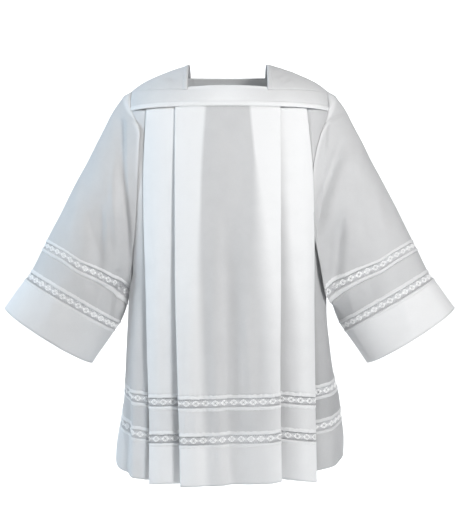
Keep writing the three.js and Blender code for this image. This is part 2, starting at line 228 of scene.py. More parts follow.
FRONT_CREASES = creases_in("""
# the middle panel
-9.5 13 28 start  -8 -270  -6 -450  -3 -600  -3 -735  6 -852
-2.6 13 10 start  -46 -360  -49 -560  -46 -735  -44 -852
1 8 7 both  -27 -560  -24 -650  -20 -760
3 20 20 start  -74 -380  -78 -600  -80 -852
2.6 7 9 both  31 -500  33 -590  40 -684
-2 8 12 both  54 -430  57 -590  60 -760
2.6 20 20 start  80 -400  83 -640  88 -852
1.6 5 7 both  22 -560  19 -640  20 -682
-1.2 5 6 both  30 -540  33 -620  30 -680
1.2 26 26 both  -60 -120  -66 -240  -62 -380
-1.4 24 24 both  12 -140  22 -260  10 -400
1.3 18 18 both  62 -150  70 -300  66 -430
# the pleats beside it
1.8 16 12 start  -146 -220  -149 -520  -147 -852
1.6 9 9 start  158 -240  162 -520  166 -852
-1.2 9 9 start  131 -260  134 -560  138 -852
-1 11 11 both  -133 -420  -131 -560  -134 -700
# the side panels
-4 9 7 start  -181 -330  -183 -560  -190 -852
5.5 9 12 start  -196 -440  -200 -640  -199 -760  -200 -852
-4 8 9 start  187 -330  190 -560  200 -852
4.5 13 12 start  202 -450  208 -650  222 -852
-8 7 9 start  -213 -660  -216 -730  -219 -780  -222 -852
-2.5 8 8 start  216 -700  228 -790  234 -852
# the band and the border
1.6 4 6 both  -21 -700  -17 -728  -22 -752
1.3 4 4 both  -12 -706  -8 -732  -10 -750
1.2 6 6 both  -68 -704  -66 -726  -70 -752
-1.1 6 6 both  -54 -702  -52 -730  -56 -752
1 5 5 both  -88 -706  -86 -730  -88 -750
1.1 7 7 both  52 -703  50 -728  54 -751
-1.6 4 4 both  -29 -776  -28 -792  -31 -812
-2 8 8 both  -5 -772  -4 -812  -1 -850
1.5 8 8 both  13 -776  16 -812  14 -850
1 10 10 both  -62 -776  -64 -812  -61 -850
""")

BACK_CREASES = creases_in("""
-4 20 16 start  16 -320  22 -500  14 -640  17 -852
2.8 18 18 start  70 -350  76 -590  72 -852
2.8 17 17 start  -66 -410  -72 -620  -70 -852
-2.2 11 8 both  -42 -300  -47 -500  -44 -720
2.2 7 10 both  -20 -520  -24 -610  -21 -690
1.5 24 24 both  44 -130  52 -250  47 -390
-1.6 22 22 both  -14 -150  -20 -280  -12 -420
1.9 13 13 start  -141 -250  -144 -530  -142 -852
1.7 10 10 start  151 -220  156 -540  158 -852
-1.3 9 9 start  127 -300  129 -570  131 -852
-3.8 8 8 start  -184 -350  -187 -570  -194 -852
4.2 12 12 start  -199 -460  -206 -640  -219 -852
-3.6 8 8 start  183 -340  187 -590  196 -852
4.4 12 12 start  199 -430  206 -660  219 -852
1.5 5 5 both  8 -702  12 -730  9 -752
-1.4 5 5 both  24 -703  27 -727  25 -751
1.2 6 6 both  -58 -704  -55 -728  -59 -751
-1.8 6 6 both  34 -776  36 -808  33 -850
1.4 9 9 both  -12 -776  -10 -812  -14 -850
""")

SLEEVE_CREASES = {
    "left": creases_in("""
-9.5 15 6 end  -224 -92  -222 -160  -220 -240  -215 -290  -209 -350  -209 -411  -214 -490
4.5 15 9 both  -240 -170  -238 -250  -234 -330  -232 -400
-3 8 7 both  -246 -160  -244 -215  -246 -265  -250 -320
-8.5 17 10 both  -262 -270  -264 -350  -266 -411  -274 -460  -270 -510
-3.2 9 8 both  -287 -300  -284 -350  -272 -402
-2.4 7 8 both  -243 -296  -243 -360  -240 -424
2.8 15 15 both  -306 -220  -318 -320  -326 -392
-2.2 14 14 both  -284 -180  -300 -240  -304 -300
-4.5 7 9 end  -229 -440  -232 -487  -238 -524  -248 -560
-3.4 9 9 both  -246 -546  -262 -586  -280 -622
2.6 9 9 both  -262 -430  -268 -490  -282 -548
1.8 12 12 both  -340 -430  -352 -478  -372 -540
-1.8 11 11 both  -312 -440  -322 -500  -340 -560
2.2 10 10 both  -236 -250  -228 -330  -224 -410
"""),
    "right": creases_in("""
-13.5 9 11 both  238 -130  226 -180  209 -229  187 -290  173 -350  168 -400
8 12 34 both  258 -150  246 -190  231 -229  211 -290  199 -350  203 -400
4 5 5 end  198 -84  197 -120  194 -160  186 -215
-4 4 5 end  207 -84  207 -130  203 -180  196 -220
3.4 15 15 both  232 -250  238 -330  243 -420
-2.6 12 12 both  266 -220  272 -330  282 -410
2.4 15 15 both  296 -230  310 -330  322 -400
-10.5 14 11 both  230 -290  226 -350  221 -411  213 -472  217 -515
2.8 8 10 both  232 -410  242 -470  262 -540
-2 11 11 both  282 -420  292 -480  310 -550
2.4 13 13 both  338 -440  352 -490  370 -556
-2.4 9 9 both  246 -552  262 -590  284 -624
-1.6 10 10 both  392 -430  402 -470  418 -520
"""),
}

SHOULDER_CREASES = creases_in("""
-3.2 5 7 both  84 -42  108 -30  136 -19
-2.2 4 6 both  100 -54  114 -44  130 -34
1.8 6 6 both  92 -34  116 -24  140 -16
-1.8 8 8 both  -98 -48  -120 -37  -146 -29
1.4 9 9 both  -112 -54  -134 -45  -160 -40
""")

RIPPLE_WAVES, BODY_RIPPLES = 9, 0.3
# Between what limits gathers differ in size, lean and width; and of a gather's two creases, the share of
# its lift and of its height, and the space before the next one.
PUCKER_SPANS = ((0.5, 1), (-3, 3), (1.8, 3.4))
PUCKER_PAIR = ((1, 1, (1.5, 4)), (-0.8, 0.9, (3, 10)))


def ripples(seed, across, up, lift, wide=(45, 120), tall=(180, 480)):
    """A low unevenness, as of cloth that was pressed and then worn: waves of random width and height."""
    rng = np.random.default_rng(seed)
    total = np.zeros(np.shape(across))
    for _ in range(RIPPLE_WAVES):
        fx, fz = 2 * np.pi / rng.uniform(*wide), 2 * np.pi / rng.uniform(*tall)
        total = total + np.sin(across * fx + up * fz * rng.choice([-1, 1]) + rng.uniform(0, 2 * np.pi))
    return lift * total / np.sqrt(RIPPLE_WAVES)


def puckers(seed, start, stop, z, height, lift):
    """Small upright gathers along a seam at z, unevenly spaced: creases that go up and down in turn."""
    rng = np.random.default_rng(seed)
    found, x = [], start
    while x < stop:
        size, lean, width = (rng.uniform(*span) for span in PUCKER_SPANS)
        for share, tall, gap in PUCKER_PAIR:
            line = np.array([(x, z), (x + lean, z + tall * height * size)])
            found.append((share * lift * size, (width, width), "end", line))
            x += rng.uniform(*gap) + (width if share > 0 else 0)
    return found


# ---------- Meshes ----------
METRES = 0.001
# How thick cloth is in one layer, in two, and where it is lined or seamed.
SINGLE_THICKNESS, DOUBLE_THICKNESS, LINED_THICKNESS = 0.5, 1.0, 0.9


def normals_of(grid, closed=False):
    """The outward direction at each point of a grid whose rows run down the cloth."""
    if closed:
        along = np.roll(grid, -1, axis=1) - np.roll(grid, 1, axis=1)
    else:
        along = np.gradient(grid, axis=1)
    down = np.gradient(grid, axis=0)
    normal = np.cross(down, along)
    return normal / np.maximum(np.linalg.norm(normal, axis=2, keepdims=True), 1e-9)


def raised(grid, lift):
    """A grid moved off its own face."""
    return grid + normals_of(grid) * lift[..., None]


def make_object(name, points, faces, materials, tone=None, uv=None, face_material=None):
    """A mesh object from points in millimetres and faces that all have as many corners. Cloth is smooth, and
    threads, whose faces have materials of their own, are flat."""
    mesh = bpy.data.meshes.new(name)
    corners = faces.shape[1]
    mesh.vertices.add(len(points))
    mesh.vertices.foreach_set("co", (np.asarray(points, float) * METRES).ravel())
    mesh.loops.add(faces.size)
    mesh.loops.foreach_set("vertex_index", faces.ravel().astype(np.int32))
    mesh.polygons.add(len(faces))
    mesh.polygons.foreach_set("loop_start", np.arange(0, faces.size, corners, dtype=np.int32))
    for material in materials:
        mesh.materials.append(material)
    if face_material is not None:
        mesh.polygons.foreach_set("material_index", face_material.astype(np.int32))
    if tone is not None:
        mesh.attributes.new("tone", "FLOAT", "POINT").data.foreach_set("value", tone.astype(np.float32))
    if uv is not None:
        layer = mesh.uv_layers.new(name="cloth")
        layer.data.foreach_set("uv", (uv[faces.ravel()] * METRES).astype(np.float32).ravel())
    mesh.update(calc_edges=True)
    mesh.validate()
    mesh.polygons.foreach_set("use_smooth", np.full(len(mesh.polygons), face_material is None))
    obj = bpy.data.objects.new(name, mesh)
    bpy.context.scene.collection.objects.link(obj)
    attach(obj, "root")
    return obj


def shell_parts(grid, thickness, closed):
    """Both sides of a sheet and its edges, as points and four-cornered faces."""
    rows, columns = grid.shape[:2]
    normal = normals_of(grid, closed)
    sides = [grid + normal * (thickness / 2), grid - normal * (thickness / 2)]
    points = np.concatenate([side.reshape(-1, 3) for side in sides])
    number = np.arange(2 * rows * columns).reshape(2, rows, columns)
    if closed:
        number = np.concatenate([number, number[:, :, :1]], axis=2)
    outer, inner = number
    faces = [
        np.stack([outer[:-1, :-1], outer[1:, :-1], outer[1:, 1:], outer[:-1, 1:]], -1),
        np.stack([inner[:-1, :-1], inner[:-1, 1:], inner[1:, 1:], inner[1:, :-1]], -1),
        np.stack([outer[0, :-1], outer[0, 1:], inner[0, 1:], inner[0, :-1]], -1),
        np.stack([outer[-1, :-1], inner[-1, :-1], inner[-1, 1:], outer[-1, 1:]], -1),
    ]
    if not closed:
        faces += [
            np.stack([outer[:-1, 0], inner[:-1, 0], inner[1:, 0], outer[1:, 0]], -1),
            np.stack([outer[:-1, -1], outer[1:, -1], inner[1:, -1], inner[:-1, -1]], -1),
        ]
    return points, np.concatenate([f.reshape(-1, 4) for f in faces])


class Sheet:
    """A grid of points on one sheet of cloth, with its distances across and down, in millimetres, and a
    tone that is 1 where it looks double, and lower where it is single or has painted shade."""

    def __init__(self, grid, closed=False, tone=1.0):
        self.grid, self.closed = grid, closed
        self.tone = np.ones(grid.shape[:2]) * tone
        ring = np.concatenate([grid, grid[:, :1]], axis=1) if closed else grid
        steps = np.linalg.norm(np.diff(ring, axis=1), axis=2).mean(0)
        self.across = np.concatenate([[0], np.cumsum(steps)])
        self.down = np.concatenate([[0], np.cumsum(np.linalg.norm(np.diff(grid, axis=0), axis=2).mean(1))])

    def rows(self, first, last):
        """The part of this sheet between two of its rows, with the distances of the whole."""
        part = Sheet(self.grid[first : last + 1], self.closed, self.tone[first : last + 1])
        part.across = self.across
        part.down = part.down + self.down[first]
        return part

    def build(self, name, thickness):
        """The sheet as an object of cloth, with its tone and its distances as a UV map on both sides."""
        points, faces = shell_parts(self.grid, thickness, self.closed)
        u, v = np.meshgrid(self.across[: self.grid.shape[1]], self.down)
        uv = np.stack([u, v], -1).reshape(-1, 2)
        tone = np.tile(self.tone.ravel(), 2)
        return make_object(name, points, faces, [CLOTH], tone=tone, uv=np.tile(uv, (2, 1)))

    def place(self, u, w, lift):
        """Points at distances across and down this sheet's own rows, lifted off its face."""
        grid, normal = self.grid, normals_of(self.grid, self.closed)
        if self.closed:
            grid, normal = (np.concatenate([g, g[:, :1]], axis=1) for g in (grid, normal))
        rows, columns = grid.shape[:2]
        i = np.interp(u, self.across, np.arange(len(self.across)))
        j = np.interp(w, self.down - self.down[0], np.arange(rows))
        i0, j0 = np.minimum(i.astype(int), columns - 2), np.minimum(j.astype(int), rows - 2)
        ti, tj = (i - i0)[:, None], (j - j0)[:, None]

        def between(g):
            above = g[j0, i0] * (1 - ti) + g[j0, i0 + 1] * ti
            below = g[j0 + 1, i0] * (1 - ti) + g[j0 + 1, i0 + 1] * ti
            return above * (1 - tj) + below * tj

        return between(grid) + between(normal) * np.asarray(lift)[:, None]


# ---------- Materials ----------
class Shading:
    """A new material, with short ways to add nodes to it and to link or set their sockets."""

    def __init__(self, name, values):
        self.material = bpy.data.materials.new(name)
        self.material.use_nodes = True
        self.tree = self.material.node_tree
        self.shader = self.tree.nodes["Principled BSDF"]
        self.set(self.shader, values)

    def set(self, node, values):
        for socket, value in values.items():
            if isinstance(value, bpy.types.NodeSocket):
                self.tree.links.new(value, node.inputs[socket])
            else:
                node.inputs[socket].default_value = value

    def node(self, kind, sockets, **settings):
        made = self.tree.nodes.new("ShaderNode" + kind)
        for key, value in settings.items():
            setattr(made, key, value)
        self.set(made, sockets)
        return made

    def number(self, operation, *terms):
        return self.node("Math", dict(enumerate(terms)), operation=operation).outputs[0]

    def noise(self, place, scale, detail):
        return self.node("TexNoise", {"Vector": place, "Scale": scale, "Detail": detail}).outputs["Fac"]

    def bump(self, height, strength, distance):
        made = self.node("Bump", {"Strength": strength, "Distance": distance, "Height": height})
        self.set(self.shader, {"Normal": made.outputs["Normal"]})


# The weave: the pitch of its threads in metres, and how often they change along and across themselves.
THREAD_PITCH, ALONG_THREAD, ACROSS_THREAD = 0.0007, 90, 2600
# How strongly clouds and uneven threads show in the cloth's tone, and the threads in its relief.
MOTTLE, SLUB_TONE, SLUB_HEIGHT = 0.14, 0.12, 2.5


def cloth_material(name, single, double):
    """Fine plain-woven cloth, greyer where its tone is low: where one layer hangs free, and where shade is
    painted into the tone.
    """
    cloth = Shading(name, {
        "Roughness": 0.82, "Specular IOR Level": 0.25,
        "Sheen Weight": 0.18, "Sheen Roughness": 0.45, "Sheen Tint": (0.93, 0.95, 1, 1),
    })
    tone = cloth.node("Attribute", {}, attribute_name="tone").outputs["Fac"]
    cloudy = cloth.noise(cloth.node("TexCoord", {}).outputs["Object"], scale=28, detail=4)
    mottle = cloth.number("MULTIPLY", cloth.number("SUBTRACT", cloudy, 0.5), MOTTLE)

    flat = cloth.node("UVMap", {}, uv_map="cloth").outputs["UV"]
    threads = []
    for stretch in ((ACROSS_THREAD, ALONG_THREAD, 1), (ALONG_THREAD, ACROSS_THREAD, 1)):
        mapping = cloth.node("Mapping", {"Vector": flat, "Scale": stretch})
        threads.append(cloth.noise(mapping.outputs["Vector"], scale=1, detail=2))
    slubs = cloth.number("SUBTRACT", cloth.number("ADD", *threads), 1)

    uneven = cloth.number("MULTIPLY", slubs, SLUB_TONE)
    amount = cloth.number("ADD", cloth.number("ADD", tone, mottle), uneven)
    mix = cloth.node("Mix", {}, data_type="RGBA")
    cloth.set(mix, {"Factor": amount, "A": (*single, 1), "B": (*double, 1)})
    cloth.set(cloth.shader, {"Base Color": mix.outputs["Result"]})

    separate = cloth.node("SeparateXYZ", {"Vector": flat})
    waves = [
        cloth.number("SINE", cloth.number("MULTIPLY", separate.outputs[axis], 2 * np.pi / THREAD_PITCH))
        for axis in ("X", "Y")
    ]
    thick = cloth.number("MULTIPLY", slubs, SLUB_HEIGHT)
    woven = cloth.number("ADD", cloth.number("MULTIPLY", *waves), thick)
    cloth.bump(woven, strength=0.3, distance=0.0004)
    return cloth.material


def thread_material(name, colour):
    """Soft thread, a little uneven in shade."""
    thread = Shading(name, {"Roughness": 0.9, "Specular IOR Level": 0.2, "Sheen Weight": 0.1})
    uneven = thread.noise(thread.node("TexCoord", {}).outputs["Object"], scale=1400, detail=3)
    ramp = thread.node("ValToRGB", {"Fac": uneven})
    for stop, position, shade in zip(ramp.color_ramp.elements, (0.25, 0.7), (0.92, 1)):
        stop.position = position
        stop.color = (*(shade * c for c in colour), 1)
    thread.set(thread.shader, {"Base Color": ramp.outputs["Color"]})
    thread.bump(uneven, strength=0.5, distance=0.0003)
    return thread.material


# The cloth's colour where its tone is 0, where it is single or has painted shade, and where it is 1, double.
SINGLE_AND_SHADED_CLOTH, DOUBLE_CLOTH = (0.4, 0.4, 0.405), (0.87, 0.87, 0.87)
CLOTH = cloth_material("surplice_cloth", SINGLE_AND_SHADED_CLOTH, DOUBLE_CLOTH)
LACE_THREAD = thread_material("lace_thread", (0.98, 0.98, 0.975))
LACE_GROUND = thread_material("lace_ground", (0.65, 0.65, 0.66))

# ---------- The body's outline ----------
OUTLINE_STEPS = 360


def outline_line(z):
    """A quarter of the body's outline at a height, from the middle of the front to the side seam, and the
    length of the way to each point."""
    t = np.linspace(0, np.pi / 2, OUTLINE_STEPS + 1)
    width, depth = body_at["width"](z), body_at["depth"](z)
    x = width * np.sin(t) ** (2 / SQUARENESS)
    y = -depth * np.cos(t) ** (2 / SQUARENESS)
    return x, y, np.concatenate([[0], np.cumsum(np.hypot(np.diff(x), np.diff(y)))])


def outline_depth(x, z=YOKE_BOTTOM):
    """How far the outline lies from the middle plane at a place across and a height."""
    share = np.abs(x) / body_at["width"](z)
    return body_at["depth"](z) * np.maximum(1 - share**SQUARENESS, 0) ** (1 / SQUARENESS)


tip_z = RIDGE[SHOULDER_TIP_X]
armhole_middle = (tip_z + ARMHOLE_BOTTOM) / 2
armhole_half = (tip_z - ARMHOLE_BOTTOM) / 2


def armhole_depth(z):
    return ARMHOLE_HALF_DEPTH * np.sqrt(np.maximum(0, 1 - ((z - armhole_middle) / armhole_half) ** 2))


# ---------- The pleated body ----------
# How widely the edge of a tuck shows through the panel at a height, and how strongly.
TUCK_BLUR = {
    "left": smooth_curve([-104, -230, -450, -850], [2, 4, 18, 30]),
    "right": smooth_curve([-104, -180, -260, -450, -850], [2, 4, 22, 52, 60]),
}
TUCK_CONTRAST = smooth_curve([-104, -420, -570, -735, -850], [0.54, 0.54, 0.46, 0.4, 0.34])

# How far past a pleat's folded edge the strip behind is single cloth, and how much darker that is, as single
# cloth and as painted shade beside the fold, most on the right.
STRIP_REACH = {
    "left": smooth_curve([-104, -250, -450, -850], [4, 14, 18, 22]),
    "right": smooth_curve([-104, -250, -412, -570, -850], [8, 14, 24, 40, 44]),
}
STRIP_SINGLE_AND_SHADE = {
    "left": smooth_curve([-104, -250, -850], [0, 0.04, 0.1]),
    "right": smooth_curve([-104, -250, -412, -850], [0.1, 0.24, 0.5, 0.5]),
}
# The soft end of that strip: its share of the reach, and the millimetres that are added to it.
STRIP_SOFT, STRIP_SOFT_LEAST = 0.9, 6
# How much darker the body's cloth is made towards the hem.
DARKER_TOWARDS_HEM = smooth_curve([-104, -300, -450, -600, -850], [1, 1, 0.96, 0.87, 0.87])

# The tone of the single cloth of the side panels, with painted shade over it, deepest on the right and lower
# down.
SIDE_SINGLE_AND_SHADE_TONE = {
    "left": smooth_curve([-104, -300, -560, -850], [0.6, 0.75, 0.65, 0.6]),
    "right": smooth_curve([-104, -300, -560, -850], [0.45, 0.4, 0.2, 0.2]),
}
# The tones of the yoke and the shoulders are painted shade, as their cloth faces upwards; the sleeves'
# tone is that of single cloth, and the band's is a little greyer than the panel.
YOKE_SHADE_TONE, SHOULDER_SHADE_TONE, SLEEVE_TONE, BAND_TONE = 0.72, 0.68, 0.5, 0.88
# The tone of the double hem where the panel above would be at 0, and what more it has where that is at 1.
HEM_TONE, HEM_SHARE = 0.25, 0.86
# Over how much cloth beside a side seam, an armhole and the yoke its creases fade out.
SEAM_HOLD, ARMHOLE_HOLD, YOKE_HOLD = 25, 12, 60
# The side panel's single tone and painted shade begin this far past the pleat's edge, and are full this much
# further on.
SIDE_SHADE_START, SIDE_SHADE_WIDTH = 4, 14

# The places across a row that its columns lie between.
ANCHORS = ["middle", "tuck", "inner", "outer", "outer_tuck", "end"]
FOLD_STEPS = 7
# How many columns each stretch of a row has: the middle and its part over the tuck, a hidden layer, the
# strip and the side panel.
MIDDLE_COLUMNS, TUCK_COLUMNS, HIDDEN_COLUMNS, STRIP_COLUMNS, SIDE_COLUMNS = 15, 18, 10, 20, 40
# The side panel starts this many layers back, and comes forward by this power of the way.
SIDE_LAYER, SIDE_RISE = 4, 1.5


def half_columns(hang):
    """Columns across half of a pleated row. Each is a pair of anchors and the share between them, a
    shift in layer pitches, its layer, and how far it hangs."""
    columns = []

    def run(a, b, count, layer, hang_a, hang_b, shift_a=0.0, shift_b=0.0):
        for k in range(count + 1):
            t = k / count
            fall = SIDE_LAYER * (1 - t) ** SIDE_RISE if layer == "side" else layer
            shift = shift_a + (shift_b - shift_a) * t
            climb = t ** hang["bow"] if layer == "side" else t
            columns.append((a, b, t, shift, fall, hang_a + (hang_b - hang_a) * climb))

    def fold(anchor, turn, layer, hang_at):
        for k in range(1, FOLD_STEPS):
            angle = np.pi * (k / FOLD_STEPS - 0.5)
            shift = turn * 0.5 * (np.cos(angle) - 1)
            columns.append((anchor, anchor, 0, shift, layer + 0.5 + 0.5 * np.sin(angle), hang_at))

    half = hang["fold"] * 0.5
    tuck = (hang["fold"] + hang["strip_inner"]) / 2
    outer_tuck = (hang["strip_outer"] + hang["side_inner"]) / 2
    run("middle", "tuck", MIDDLE_COLUMNS, 0, 0, half)
    columns.pop()
    run("tuck", "inner", TUCK_COLUMNS, 0, half, hang["fold"], 0, -0.5)
    fold("inner", 1, 0, hang["fold"])
    run("inner", "tuck", HIDDEN_COLUMNS, 1, hang["fold"], tuck, -0.5, 0.5)
    fold("tuck", -1, 1, tuck)
    run("tuck", "inner", HIDDEN_COLUMNS, 2, tuck, hang["strip_inner"], 0.5, 0)
    columns.pop()
    run("inner", "outer", STRIP_COLUMNS, 2, hang["strip_inner"], hang["strip_outer"], 0, -0.5)
    fold("outer", 1, 2, hang["strip_outer"])
    run("outer", "outer_tuck", HIDDEN_COLUMNS, 3, hang["strip_outer"], outer_tuck, -0.5, 0.5)
    fold("outer_tuck", -1, 3, outer_tuck)
    run("outer_tuck", "outer", HIDDEN_COLUMNS, 4, outer_tuck, hang["side_inner"], 0.5, 0)
    columns.pop()
    run("outer", "end", SIDE_COLUMNS, "side", hang["side_inner"], hang["side_seam"])
    return columns


def fall_back(beyond, fallen, amounts):
    """How far cloth lies behind, at a distance beyond the folded edge in front of it."""
    top, hem, top_width, hem_width = amounts
    width = top_width + (hem_width - top_width) * fallen
    away = np.sqrt(np.maximum(beyond, 0) ** 2 + FALL_ROUNDING**2) - FALL_ROUNDING
    return (top + (hem - top) * fallen) * np.exp(-away / width)


def half_body(heights, side, flank, creases, seed):
    """Half of a pleated face, from its middle to its side seam: its points at each height, and the tone
    of the cloth there. The side is the one it is laid out on, and the flank is the one it comes to."""
    columns = half_columns(HANG[side])
    first = np.array([ANCHORS.index(c[0]) for c in columns])
    second = np.array([ANCHORS.index(c[1]) for c in columns])
    share, shift, layer, hang = (np.array([c[k] for c in columns], float) for k in (2, 3, 4, 5))
    sign = -1 if side == "left" else 1
    is_side = (second == ANCHORS.index("end")).astype(float)
    points, tones = [], []
    for z in heights:
        x, y, length = outline_line(z)
        pitch = body_at["pitch"](z)
        inner = np.interp(pleat_at[side + "_inner"](z), x, length)
        outer = np.interp(pleat_at[side + "_outer"](z), x, length)
        tuck = inner - pleat_at[side + "_underlay"](z)
        end = np.interp(-armhole_depth(z), y, length) if z > ARMHOLE_BOTTOM else length[-1]
        anchors = np.array([0, tuck, inner, outer, inner + OUTER_TUCK_MARGIN, end])
        s = anchors[first] * (1 - share) + anchors[second] * share + shift * pitch
        fallen = np.clip((YOKE_BOTTOM - z) / (YOKE_BOTTOM - HEM_Z), 0, 1)
        depth = layer * pitch
        depth = depth + np.clip(layer - 1, 0, 1) * fall_back(s - inner, fallen, FALL_BACK[side])
        depth = depth + np.clip(layer - 3, 0, 1) * fall_back(s - outer, fallen, SIDE_FALL_BACK[side])
        px, py = np.interp(s, length, x), np.interp(s, length, y)
        nx, ny = np.interp(s, length, np.gradient(y)), -np.interp(s, length, np.gradient(x))
        size = np.hypot(nx, ny)
        nx, ny = nx / size, ny / size
        lower = np.clip((z - ARMHOLE_BOTTOM) / (HEM_Z - ARMHOLE_BOTTOM), 0, 1) ** HANG[side]["rise"]
        pz = z + hang * lower
        below_armhole = z < ARMHOLE_BOTTOM
        to_edge = (length[-1] - s) / SEAM_HOLD if below_armhole else (end - s) / ARMHOLE_HOLD
        held = smoothstep((YOKE_BOTTOM - z) / YOKE_HOLD) * smoothstep(to_edge)
        lift = relief(sign * px, pz, creases) + ripples(seed, sign * px, pz, BODY_RIPPLES)
        out = lift * held - depth
        drawn_in = waist[flank](z) * np.exp(-(((length[-1] - s) / WAIST_REACH) ** 2)) * below_armhole
        points.append(np.stack([sign * (px + nx * out - drawn_in), py + ny * out, pz], -1))
        # one layer shows between the tucks and beyond the outer pleat, where painted shade darkens it more
        soft = TUCK_BLUR[side](z)
        front = 1 - TUCK_CONTRAST(z) * (1 - smoothstep(0.5 + (s - tuck) / soft)) * (layer < 0.5)
        past = smoothstep(0.5 + (s - outer - SIDE_SHADE_START) / SIDE_SHADE_WIDTH)
        beyond = 1 - (1 - SIDE_SINGLE_AND_SHADE_TONE[flank](z)) * past * is_side
        # past the fold the strip is single cloth, darkened further by painted shade beside the fold
        reach = STRIP_REACH[side](z)
        on_strip = (np.abs(layer - 2) < 0.5) & (s > inner)
        single = 1 - smoothstep(0.5 + (s - inner - reach) / (STRIP_SOFT * reach + STRIP_SOFT_LEAST))
        strip = 1 - STRIP_SINGLE_AND_SHADE[side](z) * single * on_strip
        # all the face's tone is made darker towards the hem
        tones.append(front * beyond * strip * DARKER_TOWARDS_HEM(z))
    return np.array(points), np.array(tones)


def stops_above(start, sizes):
    """Where the pieces meet, from the uppermost down: each lies its own size above the one below."""
    return list(np.cumsum([start, *sizes]))[::-1]


def rows_between(stops, steps):
    """The places of all the rows down a side of the garment, and the first and last row of each piece."""
    places, spans = [stops[0]], {}
    for (piece, step), start, stop in zip(steps.items(), stops, stops[1:]):
        count = max(1, int(round(abs(stop - start) / step)))
        first = len(places) - 1
        places += list(np.linspace(start, stop, count + 1))[1:]
        spans[piece] = (first, len(places) - 1)
    return np.array(places), spans


# The pieces of the body, from the yoke down, and how far apart their rows are.
BODY_STEPS = {"panel": 7, "lace_upper": 2.5, "band": 4, "lace_lower": 2.5, "hem": 5}
BODY_STOPS = [YOKE_BOTTOM, *stops_above(HEM_Z, [HEM_BORDER, LACE_HEIGHT, HEM_BAND, LACE_HEIGHT])]

# The gathers along the edges of the lace, from the uppermost edge down: how far above or below it they
# reach, and how much they lift the cloth.
PUCKER_SIZES = [(17, 1.3), (-11, 0.9), (12, 1.0), (-9, 0.7)]
PUCKER_REACH = 225


def body_face(heights, face, seed):
    """The whole of the front or back below the yoke, as a grid of points and its tone."""
    creases = FRONT_CREASES if face == "front" else BACK_CREASES
    small = []
    for k, (z, (height, lift)) in enumerate(zip(BODY_STOPS[1:-1], PUCKER_SIZES)):
        small += puckers(seed + k, -PUCKER_REACH, PUCKER_REACH, z, height, lift)
    # the back is laid out as a front and turned round, so its left half comes to the right
    flanks = ("left", "right") if face == "front" else ("right", "left")
    left, left_tone = half_body(heights, "left", flanks[0], creases + small, seed)
    right, right_tone = half_body(heights, "right", flanks[1], creases + small, seed)
    grid = np.concatenate([left[:, ::-1][:, :-1], right], axis=1)
    tone = np.concatenate([left_tone[:, ::-1][:, :-1], right_tone], axis=1)
    if face == "back":
        grid = grid * [-1, -1, 1]
    return grid, tone


# ---------- Lace ----------
# One repeat's width on the body and on the sleeves, and how far down the insertion its net, the middle of
# its lozenges and its two rows of holes lie.
MOTIF, SLEEVE_MOTIF = 19.4, 18.2
NET_TOP, NET_FOOT, MIDDLE = 2.5, 22.5, 11.9
HOLE_ROWS, HOLES_ACROSS, HOLE_HALF_WIDTH = ((4.3, 5.9), (17.6, 19.4)), 4, 1.3
NET_LINES, NET_LEAN, NET_WIDTH, NET_HEIGHT, NET_STEPS = 9, 0.6, 1.3, 0.25, 31
# The bars: how far below the net's top the first is, its width, and the width of those at the holes.
TOP_BAR, TOP_BAR_WIDTH, HOLE_BAR_WIDTH = 1.4, 0.8, 0.6
BAR_HEIGHT, PAD_HEIGHT, EYE_HEIGHT = 0.5, 0.85, 0.9
# Half the size, across and down, of a lozenge's eye and of the net's hole in it, and the eye's thread.
EYE, EYE_HOLE, EYE_WIDTH = (2.4, 2.1), (1.7, 1.5), 1.2
# The ovals round the eye: how far out the one to the side, the one over or under and the ones between
# are, and the length and width of each. Those between lean.
PETAL_OUT, PETAL = 5.6, (6.0, 4.2)
ARC_OUT, ARC = 4.3, (5.4, 2.9)
OVAL_OUT, OVAL, OVAL_LEAN = (3.8, 3.0), (3.6, 2.3), -0.6
# The link to the next lozenge: where it starts, its width and height, and the size of its knot; then
# where the thread round the knot starts, across and down, how far over the knot it goes, and its width.
LINK_START, LINK_WIDTH, LINK_HEIGHT, KNOT = 7, 0.9, 0.4, (1.3, 1.5)
ROUND_START, ROUND_OVER, ROUND_WIDTH = (8.2, 3.4), 1, 0.6
# How wide the flat tops of threads and beads are, as shares of their feet.
THREAD_TOP, BEAD_TOP = 0.66, 0.78
# The two kinds of thread, by their places in the list of materials.
GROUND, PADDED = 0, 1


